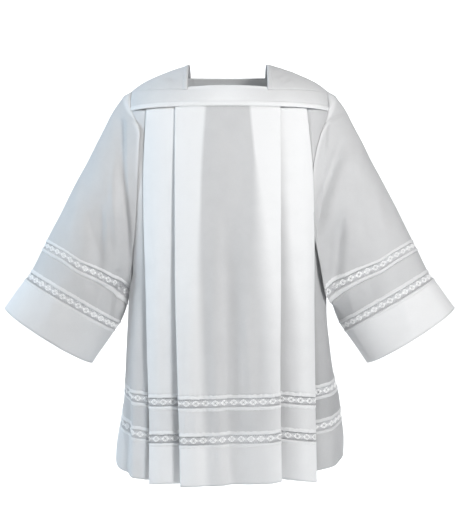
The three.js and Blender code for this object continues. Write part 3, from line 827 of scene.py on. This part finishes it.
class Threads:
    """Collects threads and beads of lace as triangles, in (across, down, lift) millimetres."""

    def __init__(self):
        self.points, self.faces, self.kinds = [], [], []

    def add(self, points, faces, kind):
        start = sum(len(p) for p in self.points)
        self.points.append(np.array(points, float))
        self.faces.append(np.array(faces) + start)
        self.kinds.append(np.full(len(faces), kind))

    def thread(self, line, width, height, kind=GROUND, ring=False):
        """A flat-topped thread along a line in the lace's plane."""
        line = np.array(line, float)
        if ring:
            ahead, back = np.roll(line, -1, axis=0), np.roll(line, 1, axis=0)
        else:
            ahead = np.concatenate([line[1:], line[-1:]])
            back = np.concatenate([line[:1], line[:-1]])
        along = ahead - back
        along = along / np.maximum(np.hypot(*along.T), 1e-9)[:, None]
        side = np.stack([-along[:, 1], along[:, 0]], -1) * width / 2
        low, high = np.zeros((len(line), 1)), np.full((len(line), 1), height)
        profile = ((side, low), (THREAD_TOP * side, high), (-THREAD_TOP * side, high), (-side, low))
        points = np.stack([np.hstack([line + away, lift]) for away, lift in profile], 1).reshape(-1, 3)
        faces = []
        count = len(line)
        for k in range(count if ring else count - 1):
            a, b = 4 * k, 4 * ((k + 1) % count)
            for m in range(3):
                faces += [(a + m, a + m + 1, b + m + 1), (a + m, b + m + 1, b + m)]
        self.add(points, faces, kind)

    def bead(self, centre, long, short, height, angle=0, sides=8):
        """A small padded oval of satin stitch."""
        turn = np.linspace(0, 2 * np.pi, sides, endpoint=False)
        x, y = long / 2 * np.cos(turn), short / 2 * np.sin(turn)
        c, s = np.cos(angle), np.sin(angle)
        oval = np.stack([x * c - y * s, x * s + y * c], -1)
        rim = np.hstack([centre + oval, np.zeros((sides, 1))])
        inner = np.hstack([centre + BEAD_TOP * oval, np.full((sides, 1), height)])
        points = np.concatenate([rim, inner, [[*centre, height * 1.1], [*centre, -0.1]]])
        faces = []
        for k in range(sides):
            n = (k + 1) % sides
            faces += [(k, n, sides + n), (k, sides + n, sides + k)]
            faces += [(sides + k, sides + n, 2 * sides), (n, k, 2 * sides + 1)]
        self.add(points, faces, PADDED)

    def merged(self):
        return np.concatenate(self.points), np.concatenate(self.faces), np.concatenate(self.kinds)


def lozenge(made):
    """A lozenge of padded ovals round an open eye, and half of its links to the next ones."""
    edge = MOTIF / 2
    turn = np.linspace(0, 2 * np.pi, 16, endpoint=False)
    eye = [(EYE[0] * np.cos(t), MIDDLE + EYE[1] * np.sin(t)) for t in turn]
    made.thread(eye, EYE_WIDTH, EYE_HEIGHT, kind=PADDED, ring=True)
    for side in (-1, 1):
        # a petal to the side, an arc over or under the eye, and ovals between them
        made.bead((side * PETAL_OUT, MIDDLE), *PETAL, EYE_HEIGHT, sides=10)
        made.bead((0, MIDDLE + side * ARC_OUT), *ARC, PAD_HEIGHT, sides=10)
        for over in (-1, 1):
            centre = (side * OVAL_OUT[0], MIDDLE + over * OVAL_OUT[1])
            made.bead(centre, *OVAL, PAD_HEIGHT, side * over * OVAL_LEAN)
        # a thin link to the next lozenge, with a small knot on it, and a thread round the knot
        made.thread([(side * LINK_START, MIDDLE), (side * edge, MIDDLE)], LINK_WIDTH, LINK_HEIGHT)
        made.bead((side * edge, MIDDLE), *KNOT, BAR_HEIGHT)
        start, away = side * ROUND_START[0], ROUND_START[1]
        round_knot = [(start, MIDDLE - away), (side * edge, MIDDLE - ROUND_OVER), (start, MIDDLE + away)]
        made.thread(round_knot, ROUND_WIDTH, BAR_HEIGHT, kind=PADDED)


def net(made):
    """A net of crossing threads, left open inside the eye and at two rows of holes."""
    edge, reach, gap = MOTIF / 2, NET_FOOT - NET_TOP, MOTIF / HOLES_ACROSS
    # the net's upper edge, and the bars over and under the lower row of holes
    bars = [(NET_TOP + TOP_BAR, TOP_BAR_WIDTH)] + [(level, HOLE_BAR_WIDTH) for level in HOLE_ROWS[1]]
    for level, width in bars:
        made.thread([(x, level) for x in np.linspace(-edge, edge, 5)], width, BAR_HEIGHT)
    t = np.linspace(0, 1, NET_STEPS)
    y = NET_TOP + t * reach
    in_row = sum((y > start) & (y < stop) for start, stop in HOLE_ROWS) > 0
    for k in range(NET_LINES):
        for lean in (-1, 1):
            x = -edge + MOTIF * k / NET_LINES + lean * t * reach * NET_LEAN
            folded = (x + edge) % MOTIF - edge
            in_eye = (folded / EYE_HOLE[0]) ** 2 + ((y - MIDDLE) / EYE_HOLE[1]) ** 2 < 1
            in_hole = in_row & (np.abs((x + edge) % gap - gap / 2) < HOLE_HALF_WIDTH)
            shown_here = ~(in_eye | in_hole)
            ends = np.flatnonzero(np.diff(np.concatenate([[0], shown_here.astype(int), [0]])))
            for a, b in zip(ends[::2], ends[1::2] - 1):
                if b > a:
                    made.thread([(x[a], y[a]), (x[b], y[b])], NET_WIDTH, NET_HEIGHT)


def lace_motif():
    """One repeat of the lace, as points, faces and the kind of each face: ground or padded."""
    made = Threads()
    lozenge(made)
    net(made)
    return made.merged()


MOTIF_MESH = lace_motif()
# How far the threads' feet lie behind the face of the sheet.
LACE_SUNK = 0.2


def lace_on(name, sheet, pitch):
    """The lace of an insertion, on a sheet whose rows span it from edge to edge."""
    sheet = Sheet(sheet.grid, sheet.closed)  # measured anew, so that repeats fill its own width
    total = sheet.across[-1]
    repeats = int(round(total / pitch))
    stretch = total / (repeats * MOTIF)
    points, faces, kinds = MOTIF_MESH
    start = 0 if sheet.closed else 0.5
    across = np.concatenate([points[:, 0] + (k + start) * MOTIF for k in range(repeats)]) * stretch
    across = across % total if sheet.closed else np.clip(across, 0, total)
    down = np.tile(points[:, 1], repeats)
    lift = np.tile(points[:, 2], repeats) - LACE_SUNK
    placed = sheet.place(across, down, lift)
    all_faces = np.concatenate([faces + k * len(points) for k in range(repeats)])
    made = make_object(
        name + "_net", placed, all_faces, [LACE_GROUND, LACE_THREAD], face_material=np.tile(kinds, repeats)
    )
    return made


# Distances down from the insertion's upper edge, and heights, across its two borders. Both have a soft
# outer side and a steeper inner one.
BORDER_SECTIONS = {
    "top": [(-4.0, -0.4), (-2.4, 0.2), (-0.4, 0.85), (2.0, 1.2), (3.4, 0.9), (4.2, 0.1)],
    "foot": [(20.9, 0.1), (21.5, 0.9), (22.7, 1.25), (24.4, 1.1), (26.2, 0.5), (28.2, -0.3)],
}
BORDER_RUFFLE = {"top": 0.55, "foot": 0.2}
BORDER_STEP, BORDER_WAVES, BORDER_SWELL, BORDER_TONE, BORDER_THICKNESS = 2.0, 14, 0.22, 0.68, 0.35
# Between how many times along a border each ruffle and each swelling comes, and the border's own lift.
RUFFLE_TIMES, SWELL_TIMES, BORDER_LIFT = (8, 150), (30, 190), 0.1


def border_on(name, sheet, start, edge, seed):
    """A narrow raised border along an edge of a lace insertion that starts that far down a sheet."""
    rng = np.random.default_rng(seed)
    steps = int(sheet.across[-1] / BORDER_STEP)
    u = np.linspace(0, sheet.across[-1], steps + 1)
    if sheet.closed:
        u = u[:-1]
    turns = 2 * np.pi * u / sheet.across[-1]
    wave, swell = np.zeros(len(u)), np.zeros(len(u))
    for _ in range(BORDER_WAVES):
        wave += np.sin(turns * rng.integers(*RUFFLE_TIMES) + rng.uniform(0, 2 * np.pi))
        swell += np.sin(turns * rng.integers(*SWELL_TIMES) + rng.uniform(0, 2 * np.pi))
    wave, swell = wave * BORDER_RUFFLE[edge] / np.sqrt(BORDER_WAVES), swell / np.sqrt(BORDER_WAVES)
    rows = []
    for down, lift in BORDER_SECTIONS[edge]:
        place = np.clip(start + down + wave, 0, sheet.down[-1] - sheet.down[0])
        rows.append(sheet.place(u, place, lift * (1 + BORDER_SWELL * swell) + BORDER_LIFT))
    # the border takes on part of the tone below it, painted shade and all
    below = sheet.tone[int(np.searchsorted(sheet.down - sheet.down[0], start))]
    below = np.interp(u, sheet.across[: len(below)], below)
    tone = np.tile(BORDER_TONE + (1 - BORDER_TONE) * below, (len(rows), 1))
    made = Sheet(np.array(rows), sheet.closed, tone).build(name, BORDER_THICKNESS)
    return made


# ---------- Build the body ----------
shown, trims = {}, {}


def show(node, made):
    """Note that an object is shown in place of a solid of the CAD."""
    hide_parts(node)
    shown[node] = made


def show_cloth(node, sheet, thickness):
    made = sheet.build(f"{node}_cloth", thickness)
    show(node, made)


def show_pieces(prefix, whole, spans, seed, pitch, shade):
    """All the pieces down a face or a sleeve: cloth, and lace with its two borders."""
    for piece, span in spans.items():
        part = whole.rows(*span)
        node = f"{prefix}_{piece}"
        if "lace" in piece:
            show(node, lace_on(node, part, pitch))
            start = part.down[0] - whole.down[0]
            trims[node] = [
                border_on(f"{node}_{edge}_border", whole, start, edge, seed + (edge == "top"))
                for edge in BORDER_SECTIONS
            ]
        else:
            part.tone = shade(piece, part.tone)
            doubled = piece in ("hem", "sleeve_cuff")
            show_cloth(node, part, DOUBLE_THICKNESS if doubled else SINGLE_THICKNESS)


def body_shade(piece, tone):
    """The hem is double, and so whiter, and the band is a little greyer than the panel; both keep the painted
    shade of the panel's tone, the hem less of it.
    """
    return {"panel": tone, "band": BAND_TONE * tone, "hem": np.minimum(HEM_TONE + HEM_SHARE * tone, 1)}[piece]


heights, spans = rows_between(BODY_STOPS, BODY_STEPS)
for face, seed in (("front", 11), ("back", 47)):
    grid, tone = body_face(heights, face, seed)
    show_pieces(face, Sheet(grid, tone=tone), spans, seed, MOTIF, body_shade)


# ---------- Shoulders and yokes ----------
YOKE_ROWS, STRIP_ROWS, SHOULDER_ROWS, BINDING_ROWS, BINDING_COLUMNS = 26, 12, 30, 40, 9
LEFT_COLUMNS, NECK_COLUMNS, RIGHT_COLUMNS = 42, 50, 44
# How far the strip is rounded, lies above the yoke, and is uneven.
STRIP_CROWN, STRIP_LIFT, STRIP_UNEVEN = 1.5, 0.4, 0.12
# The power of the strip's rounding, and how fast its two waves of unevenness go from column to column.
STRIP_ROUNDING, STRIP_RATES = 0.9, (1.9, 0.37)
# How far each binding is rounded, and lies above the shoulder.
BINDING_CROWN, BINDING_LIFT = 1.0, 0.35
# Where painted light from the front makes the yoke whitest, how far that reaches, and how many rows of it
# the collar's own allowance whitens along the neck.
PAINTED_LIGHT_X, PAINTED_LIGHT_REACH, WHITE_ROWS = -12, 60, 5
# The shoulders' creases end this far behind the middle plane.
SHOULDER_CREASES_END = 30


def top_point(x, angle):
    """A point on the garment's top: the angle runs from 0 at the ridge to -90 at the front yoke's foot."""
    turn = np.radians(angle)
    sine, cosine = np.sin(turn), np.cos(turn)
    y = outline_depth(x) * np.sign(sine) * np.abs(sine) ** (2 / ROUNDNESS)
    z = YOKE_BOTTOM + (ridge_z(np.abs(x)) - YOKE_BOTTOM) * np.maximum(cosine, 0) ** (2 / ROUNDNESS)
    return np.stack([x, y, z], -1)


def front_angle_at(x, z):
    """The angle at which the front of the shoulders is at a height."""
    share = (z - YOKE_BOTTOM) / (ridge_z(np.abs(x)) - YOKE_BOTTOM)
    return -np.degrees(np.arccos(np.clip(share, 0, 1) ** (ROUNDNESS / 2)))


def front_seam_z(x):
    share = (np.abs(x) - SHOULDER_NECK_X) / (SHOULDER_TIP_X - SHOULDER_NECK_X)
    return FRONT_SEAM_NECK_Z + (FRONT_SEAM_TIP_Z - FRONT_SEAM_NECK_Z) * share


def neck_edge_z(x):
    middle, half = (NECK_LEFT + NECK_RIGHT) / 2, (NECK_RIGHT - NECK_LEFT) / 2
    return NECK_CORNER_Z + NECK_RISE * (1 - ((x - middle) / half) ** 2)


def top_grid(x, first, last, count):
    """Rows of points at the places x, from the first to the last angle, with the shoulders' creases."""
    share = np.linspace(0, 1, count)[:, None]
    grid = top_point(np.repeat(x[None], count, axis=0), first * (1 - share) + last * share)
    in_front = grid[..., 1] < SHOULDER_CREASES_END
    lift = relief(grid[..., 0], grid[..., 2], SHOULDER_CREASES) * in_front
    return raised(grid, lift)


left_x = np.linspace(-SHOULDER_TIP_X, NECK_LEFT - NECK_GAP, LEFT_COLUMNS)
right_x = np.linspace(NECK_RIGHT + NECK_GAP, SHOULDER_TIP_X, RIGHT_COLUMNS)
yoke_x = np.concatenate([left_x, np.linspace(NECK_LEFT, NECK_RIGHT, NECK_COLUMNS), right_x])
in_neck = (yoke_x >= NECK_LEFT) & (yoke_x <= NECK_RIGHT)

for face, turned in (("front", 1), ("back", -1)):
    x = yoke_x[::turned]
    foot = np.full(len(x), -90.0 * turned)
    if face == "front":
        first = front_angle_at(x, np.where(in_neck, neck_edge_z(x), front_seam_z(x)))
    else:
        first = np.full(len(x), float(BACK_SEAM_ANGLE))
    # the yoke's painted shade is lifted by painted light towards its middle, and along the neck by the
    # collar's allowance
    row = np.arange(YOKE_ROWS)[:, None]
    near_neck = in_neck * smoothstep((WHITE_ROWS - row) / (WHITE_ROWS - 1))
    whiter = np.minimum(np.exp(-(((x - PAINTED_LIGHT_X) / PAINTED_LIGHT_REACH) ** 2)) + near_neck, 1)
    yoke = Sheet(top_grid(x, first, foot, YOKE_ROWS), tone=YOKE_SHADE_TONE + (1 - YOKE_SHADE_TONE) * whiter)
    show_cloth(f"{face}_yoke", yoke, LINED_THICKNESS)

    grid = top_grid(x, turned * front_angle_at(x, YOKE_BOTTOM + STRIP_HEIGHT), foot, STRIP_ROWS)
    crown = STRIP_CROWN * np.sin(np.pi * np.linspace(0, 1, STRIP_ROWS))[:, None] ** STRIP_ROUNDING
    column = np.arange(len(x))
    uneven = STRIP_UNEVEN * np.sin(column * STRIP_RATES[0]) * np.sin(column * STRIP_RATES[1])
    strip = Sheet(raised(grid, crown * (1 + uneven) + STRIP_LIFT))
    show_cloth(f"{face}_yoke_strip", strip, SINGLE_THICKNESS)


def over_shoulder(x, count):
    """A grid from the seam behind the shoulder's ridge to the one in front."""
    return top_grid(x, np.full(len(x), float(BACK_SEAM_ANGLE)), front_angle_at(x, front_seam_z(x)), count)


for side, x, neck, outward in (("left", left_x, NECK_LEFT, -1), ("right", right_x, NECK_RIGHT, 1)):
    shoulder = Sheet(over_shoulder(x, SHOULDER_ROWS), tone=SHOULDER_SHADE_TONE)
    show_cloth(f"{side}_shoulder", shoulder, LINED_THICKNESS)

    ends = sorted(neck + outward * away for away in (NECK_GAP, NECK_GAP + BINDING))
    grid = over_shoulder(np.linspace(*ends, BINDING_COLUMNS), BINDING_ROWS)
    crown = BINDING_LIFT + BINDING_CROWN * (1 - np.abs(np.linspace(-1, 1, BINDING_COLUMNS)) ** 4)
    binding = Sheet(raised(grid, np.tile(crown, (BINDING_ROWS, 1))), tone=SHOULDER_SHADE_TONE)
    show_cloth(f"{side}_neck_binding", binding, SINGLE_THICKNESS)

# ---------- Sleeves ----------
RING_COLUMNS, ARMHOLE_SIDE_COUNT = 168, 20
# Angles round the sleeve, and how far down from its top each of them is, in front or behind.
ring_angles = np.linspace(0, 360, RING_COLUMNS, endpoint=False)
turns_down = np.minimum(ring_angles, 360 - ring_angles)

# The sleeve's angles at four places over the shoulder, those between which it follows the armhole's side,
# and how far outside the armhole's edge it starts.
ARMHOLE_TOP_TURNS, ARMHOLE_SIDE_TURNS, ARMHOLE_GAP = (0, 16, 29, 41), (56, 170), 0.1


def sleeve_ring(from_cuff):
    """The right sleeve's ring, at a distance from the cuff for each angle round from its upper edge."""
    turn = np.radians(ring_angles)
    top = np.array([ring_at["top_x"](from_cuff), ring_at["top_z"](from_cuff)])
    low = np.array([ring_at["low_x"](from_cuff), ring_at["low_z"](from_cuff)])
    middle, half = (top + low) / 2, (top - low) / 2
    up = np.array([-half[1], half[0]]) / np.hypot(*half)
    plane = middle + np.cos(turn) * half + ring_at["rise"](from_cuff) * np.sin(turn) * up
    return np.stack([plane[0], -ring_at["depth"](from_cuff) * np.sin(turn), plane[1]], -1)


def armhole_ring():
    """The armhole's edge on the right, at the sleeve's own angles."""
    tip = np.array(float(SHOULDER_TIP_X))
    front_seam = float(front_angle_at(tip, front_seam_z(tip)))
    angles = list(ARMHOLE_TOP_TURNS)
    points = [top_point(tip, angle) for angle in (0, front_seam, (front_seam - 90) / 2, -90)]
    for angle in np.linspace(*ARMHOLE_SIDE_TURNS, ARMHOLE_SIDE_COUNT):
        z = armhole_middle + armhole_half * np.cos(np.radians(angle))
        x, y, length = outline_line(z)
        s = np.interp(-armhole_depth(z), y, length)
        angles.append(angle)
        points.append(np.array([np.interp(s, length, x), np.interp(s, length, y), z]))
    angles.append(180)
    points.append(np.array([body_at["width"](ARMHOLE_BOTTOM), 0, ARMHOLE_BOTTOM]))
    angles, points = np.array(angles, float), np.array(points)
    ring = np.stack([np.interp(turns_down, angles, points[:, k]) for k in range(3)], -1)
    ring[:, 1] *= np.where(ring_angles > 180, -1, 1)
    return ring + [ARMHOLE_GAP, 0, 0]


# Where along the sleeve its head begins to come forward and where it folds, the angle down from the top
# where it starts and how much further down it is full, and how much of it the back has.
FOLD_START, FOLD_AT, FOLD_TOP, FOLD_TURNS, BACK_FOLD = 396, 479, 14, 34, 0.4
# The angle down from the top by which the fold is gone, and over how many it goes.
FOLD_GONE, FOLD_FADE = 176, 26
# How far behind the body's outline the fold lies, by height.
FOLD_SINK = {
    "left": smooth_curve([-520, -430, -350, -80], [-5, -5, -3, -3]),
    "right": smooth_curve([-520, -430, -380, -330, -235, -193, -150, -80], [-5, -5, 3, 8, 8, 3, -2, -3]),
}
# The front of the sleeve hangs forward of its underarm too: where along the sleeve that ends and over
# how far it fades, and the angles down from the top at which it begins and folds.
DRAPE_END, DRAPE_FADE, DRAPE_FROM, DRAPE_TURN = 104, 50, 82, 150
# How much nearer the cuff the upper lace runs at the underarm, its share by the angle down from the top,
# and where along the sleeve it begins, is full and ends.
UNDERARM_DROP = {"left": 16, "right": 14}
DROP_TURNS, DROP_SHARES = [66, 95, 112, 130, 150, 180], [0, 0.3, 0.7, 1, 0.95, 0.6]
DROP_PLACES = [104, 146, 175, 300]

# The pieces of a sleeve, from its head down, and how far apart their rows are.
SLEEVE_STEPS = {
    "sleeve": 4.5, "sleeve_lace_upper": 2.5, "sleeve_band": 4.5, "sleeve_lace_lower": 2.5, "sleeve_cuff": 5.5,
}
SLEEVE_STOPS = [SLEEVE_LENGTH, *stops_above(0, [CUFF_BORDER, LACE_HEIGHT, CUFF_BAND, LACE_HEIGHT])]
# The sleeve's head comes out of the armhole's seam over these rows more, and rolls here.
HEAD_ROWS = (530, 522)
ROLL_LIFT, ROLL_AT, ROLL_WIDTH = 1.4, 517, 7
# Angles down from the top: where the roll and the turned-in edge's double cloth end and the underarm's
# painted shade begins, each with the degrees that it takes, and where the cuff's painted shade is darkest.
ROLL_TURNS, EDGE_TURNS, UNDER_TURNS, CUFF_TURNS = (58, 30), (86, 26), (72, 50), 170
# How much the turned-in edge whitens the head, how wide and soft it is, and how dark the underarm's painted
# shade is.
HEAD_WHITER, EDGE_WIDTH, EDGE_SOFT, UNDERARM_PAINTED_SHADE = 0.65, 20, 14, 0.16
# The tone of the cuff along its top, lower on the left as painted shade, and how much painted shade darkens
# it at the underarm.
CUFF_TONE, CUFF_PAINTED_SHADE = {"left": 0.9, "right": 1}, {"left": 0.34, "right": 0.12}
# Ripples and creases end this far past the fold, over this distance. Creases are full where the cloth
# faces forward or back by at least this much.
HOLD_PAST, HOLD_FADE, FACING = 14, 30, 0.45
SLEEVE_RIPPLES = dict(lift=0.45, wide=(40, 110), tall=(120, 360))


def fold_head(grid, travel, side):
    """The sleeve's head, folded back on itself in front over the side panel, and behind a little less."""
    turn = turns_down
    front = (ring_angles <= 180).astype(float)
    share = smoothstep((turn - FOLD_TOP) / FOLD_TURNS) * smoothstep((FOLD_GONE - turn) / FOLD_FADE)
    reach = share * (front + BACK_FOLD * (1 - front))
    z = grid[..., 2]
    fold_x = sleeve_fold[side](z)
    fold_y = np.array([outline_depth(a, b) for a, b in zip(fold_x, z)]) - FOLD_SINK[side](z)
    sign = np.where(front > 0, -1, 1)[None]
    # up to the fold the cloth comes forward, and behind it the cloth goes back to the armhole's edge
    before = smoothstep((travel - FOLD_START) / (FOLD_AT - FOLD_START))
    after = np.clip((travel[0] - travel) / (travel[0] - FOLD_AT), 0, 1)
    rising = smoothstep((turn - DRAPE_FROM) / (DRAPE_TURN - DRAPE_FROM))
    under = np.where(turn <= DRAPE_TURN, rising, (180 - turn) / (180 - DRAPE_TURN))
    under = under * front * smoothstep((travel - DRAPE_END) / DRAPE_FADE) * (1 - before)
    amount = np.where(travel <= FOLD_AT, before, after) * reach[None] + under
    hidden = ((travel > FOLD_AT) * reach[None])[..., None]
    x, y, _ = np.moveaxis(grid * (1 - hidden) + grid[:1] * hidden, -1, 0)
    new_x = x + (fold_x - x) * amount
    new_y = y + (sign * fold_y - y) * amount
    return np.stack([new_x, new_y, z], -1)


def moved_creases(creases):
    """A sleeve's creases for the back of the other one: a little weaker, lower and nearer the middle."""
    nearer, lower, weaker = 6, 10, 0.9
    return [
        (weaker * lift, widths[::-1], ends, line * [-1, 1] + [nearer * np.sign(line[0, 0]), -lower])
        for lift, widths, ends, line in creases
    ]


def sleeve_grid(side, distances, seed):
    """A sleeve as a grid of points, and its tone."""
    other = "left" if side == "right" else "right"
    around = turns_down
    travel = np.array([*HEAD_ROWS, *distances])[:, None] + 0 * ring_angles
    drop = np.interp(travel, DROP_PLACES, [0, 1, 1, 0])
    travel = travel - UNDERARM_DROP[side] * drop * np.interp(around, DROP_TURNS, DROP_SHARES)
    edge, first = armhole_ring(), sleeve_ring(travel[2])
    rings = [edge, edge * 0.5 + first * 0.5, first] + [sleeve_ring(row) for row in travel[3:]]
    grid = fold_head(np.array(rings), travel, side)
    # either way round, the rows run so that the sheet's face is its outer side
    if side == "left":
        grid = grid * [-1, 1, 1]
    else:
        grid, travel, around = grid[:, ::-1], travel[:, ::-1], around[::-1]
    normal = normals_of(grid, True)
    x, y, z = np.moveaxis(grid, -1, 0)
    creased = np.where(
        y < 0, relief(x, z, SLEEVE_CREASES[side]), relief(x, z, moved_creases(SLEEVE_CREASES[other]))
    )
    lift = creased * smoothstep(np.abs(normal[..., 1]) / FACING)
    lift = lift + ripples(seed, x + 0.6 * y, z - 0.5 * x, **SLEEVE_RIPPLES)
    held = smoothstep((FOLD_AT + HOLD_PAST - travel) / HOLD_FADE)
    # the cloth rolls out of the seam at the shoulder, where its turned-in edge makes it double
    roll = ROLL_LIFT * np.exp(-(((travel - ROLL_AT) / ROLL_WIDTH) ** 2))
    roll = roll * smoothstep((ROLL_TURNS[0] - around) / ROLL_TURNS[1])
    edge = travel[0] - (travel[0] - FOLD_AT) * smoothstep((around - FOLD_TOP) / FOLD_TURNS)
    double = smoothstep((travel - edge + EDGE_WIDTH) / EDGE_SOFT)
    double = double * smoothstep((EDGE_TURNS[0] - around) / EDGE_TURNS[1])
    # its single cloth has painted shade round towards the underarm
    single = SLEEVE_TONE - UNDERARM_PAINTED_SHADE * smoothstep((around - UNDER_TURNS[0]) / UNDER_TURNS[1])
    tone = single + (1 - single) * HEAD_WHITER * double
    return grid + normal * (lift * held + roll)[..., None], tone


def sleeve_shade(side):
    """How the tone of each piece of a sleeve is made: the double cloth of a cuff has painted shade
    towards the underarm, on the left most of all."""
    cuff = CUFF_TONE[side] - CUFF_PAINTED_SHADE[side] * smoothstep(turns_down / CUFF_TURNS)
    cuff = cuff if side == "left" else cuff[::-1]
    return lambda piece, tone: np.tile(cuff, (len(tone), 1)) if piece == "sleeve_cuff" else tone


distances, spans = rows_between(SLEEVE_STOPS, SLEEVE_STEPS)
more = len(HEAD_ROWS)
spans = {piece: (first + more if first else 0, last + more) for piece, (first, last) in spans.items()}
for side, seed in (("left", 71), ("right", 93)):
    grid, tone = sleeve_grid(side, distances, seed)
    show_pieces(side, Sheet(grid, True, tone), spans, seed, SLEEVE_MOTIF, sleeve_shade(side))

# ---------- Each shown piece's name, split into its side and part ---
for node, piece in shown.items():
    side, part = node.split("_", 1)


# ---------- Studio ----------
FLOOR_Z, FLOOR_REACH, WALL_Y, WALL_TOP, BEND, STAGE_HALF_WIDTH = -1.25, 4.5, 3.4, 3.2, 0.9, 5
PAPER, SKY, SKY_STRENGTH = (0.93, 0.935, 0.94, 1), (0.97, 0.98, 1, 1), 0.145
WHITE, BLUISH = (1, 1, 1), (0.72, 0.87, 1)
# Each light's name, place, target, size, power in watts, and colour.
LIGHTS = [
    ("key", (0.85, -1.65, 0.3), (0, 0, -0.25), (0.4, 0.4), 27, WHITE),
    ("front_fill", (-0.9, -2.3, 0), (0, 0, -0.5), (0.9, 0.9), 4.8, WHITE),
    ("left_rim", (-1.8, -0.1, 0.35), (-0.35, 0, -0.35), (0.6, 0.8), 24, BLUISH),
    ("backdrop_wash", (0, 1.8, 1.8), (0, 3.4, -0.3), (3.2, 0.6), 85, WHITE),
    ("floor_wash", (0, 0.85, 0.3), (0, 2.0, -1.2), (2.6, 0.4), 22, WHITE),
]


def stage_sweep():
    """A pale floor that curves up into a backdrop."""
    line = [(-FLOOR_REACH, FLOOR_Z), (WALL_Y - BEND, FLOOR_Z)]
    line += [
        (WALL_Y - BEND + BEND * np.sin(a), FLOOR_Z + BEND * (1 - np.cos(a)))
        for a in np.linspace(0, np.pi / 2, 14)[1:]
    ]
    line += [(WALL_Y, WALL_TOP)]
    xs = np.linspace(-STAGE_HALF_WIDTH, STAGE_HALF_WIDTH, 9)
    verts = [(x, y, z) for y, z in line for x in xs]
    n = len(xs)
    faces = [
        (j * n + i, j * n + i + 1, (j + 1) * n + i + 1, (j + 1) * n + i)
        for j in range(len(line) - 1) for i in range(n - 1)
    ]
    mesh = bpy.data.meshes.new("backdrop")
    mesh.from_pydata(verts, [], faces)
    mesh.polygons.foreach_set("use_smooth", np.ones(len(mesh.polygons), bool))
    mesh.materials.append(Shading("backdrop_paper", {"Base Color": PAPER, "Roughness": 0.95}).material)
    obj = bpy.data.objects.new("backdrop", mesh)
    bpy.context.scene.collection.objects.link(obj)


def area_light(name, place, target, size, power, colour):
    data = bpy.data.lights.new(name, "AREA")
    data.shape = "RECTANGLE"
    data.size, data.size_y = size
    data.energy = power
    data.color = colour
    light = bpy.data.objects.new(name, data)
    bpy.context.scene.collection.objects.link(light)
    light.location = place
    light.visible_camera = False
    light.rotation_euler = (Vector(target) - Vector(place)).to_track_quat("-Z", "Y").to_euler()


stage_sweep()
for light in LIGHTS:
    area_light(*light)

world = bpy.data.worlds.new("studio")
bpy.context.scene.world = world
world.use_nodes = True
background = world.node_tree.nodes["Background"]
background.inputs["Color"].default_value = SKY
background.inputs["Strength"].default_value = SKY_STRENGTH
bpy.context.scene.view_settings.view_transform = "Standard"
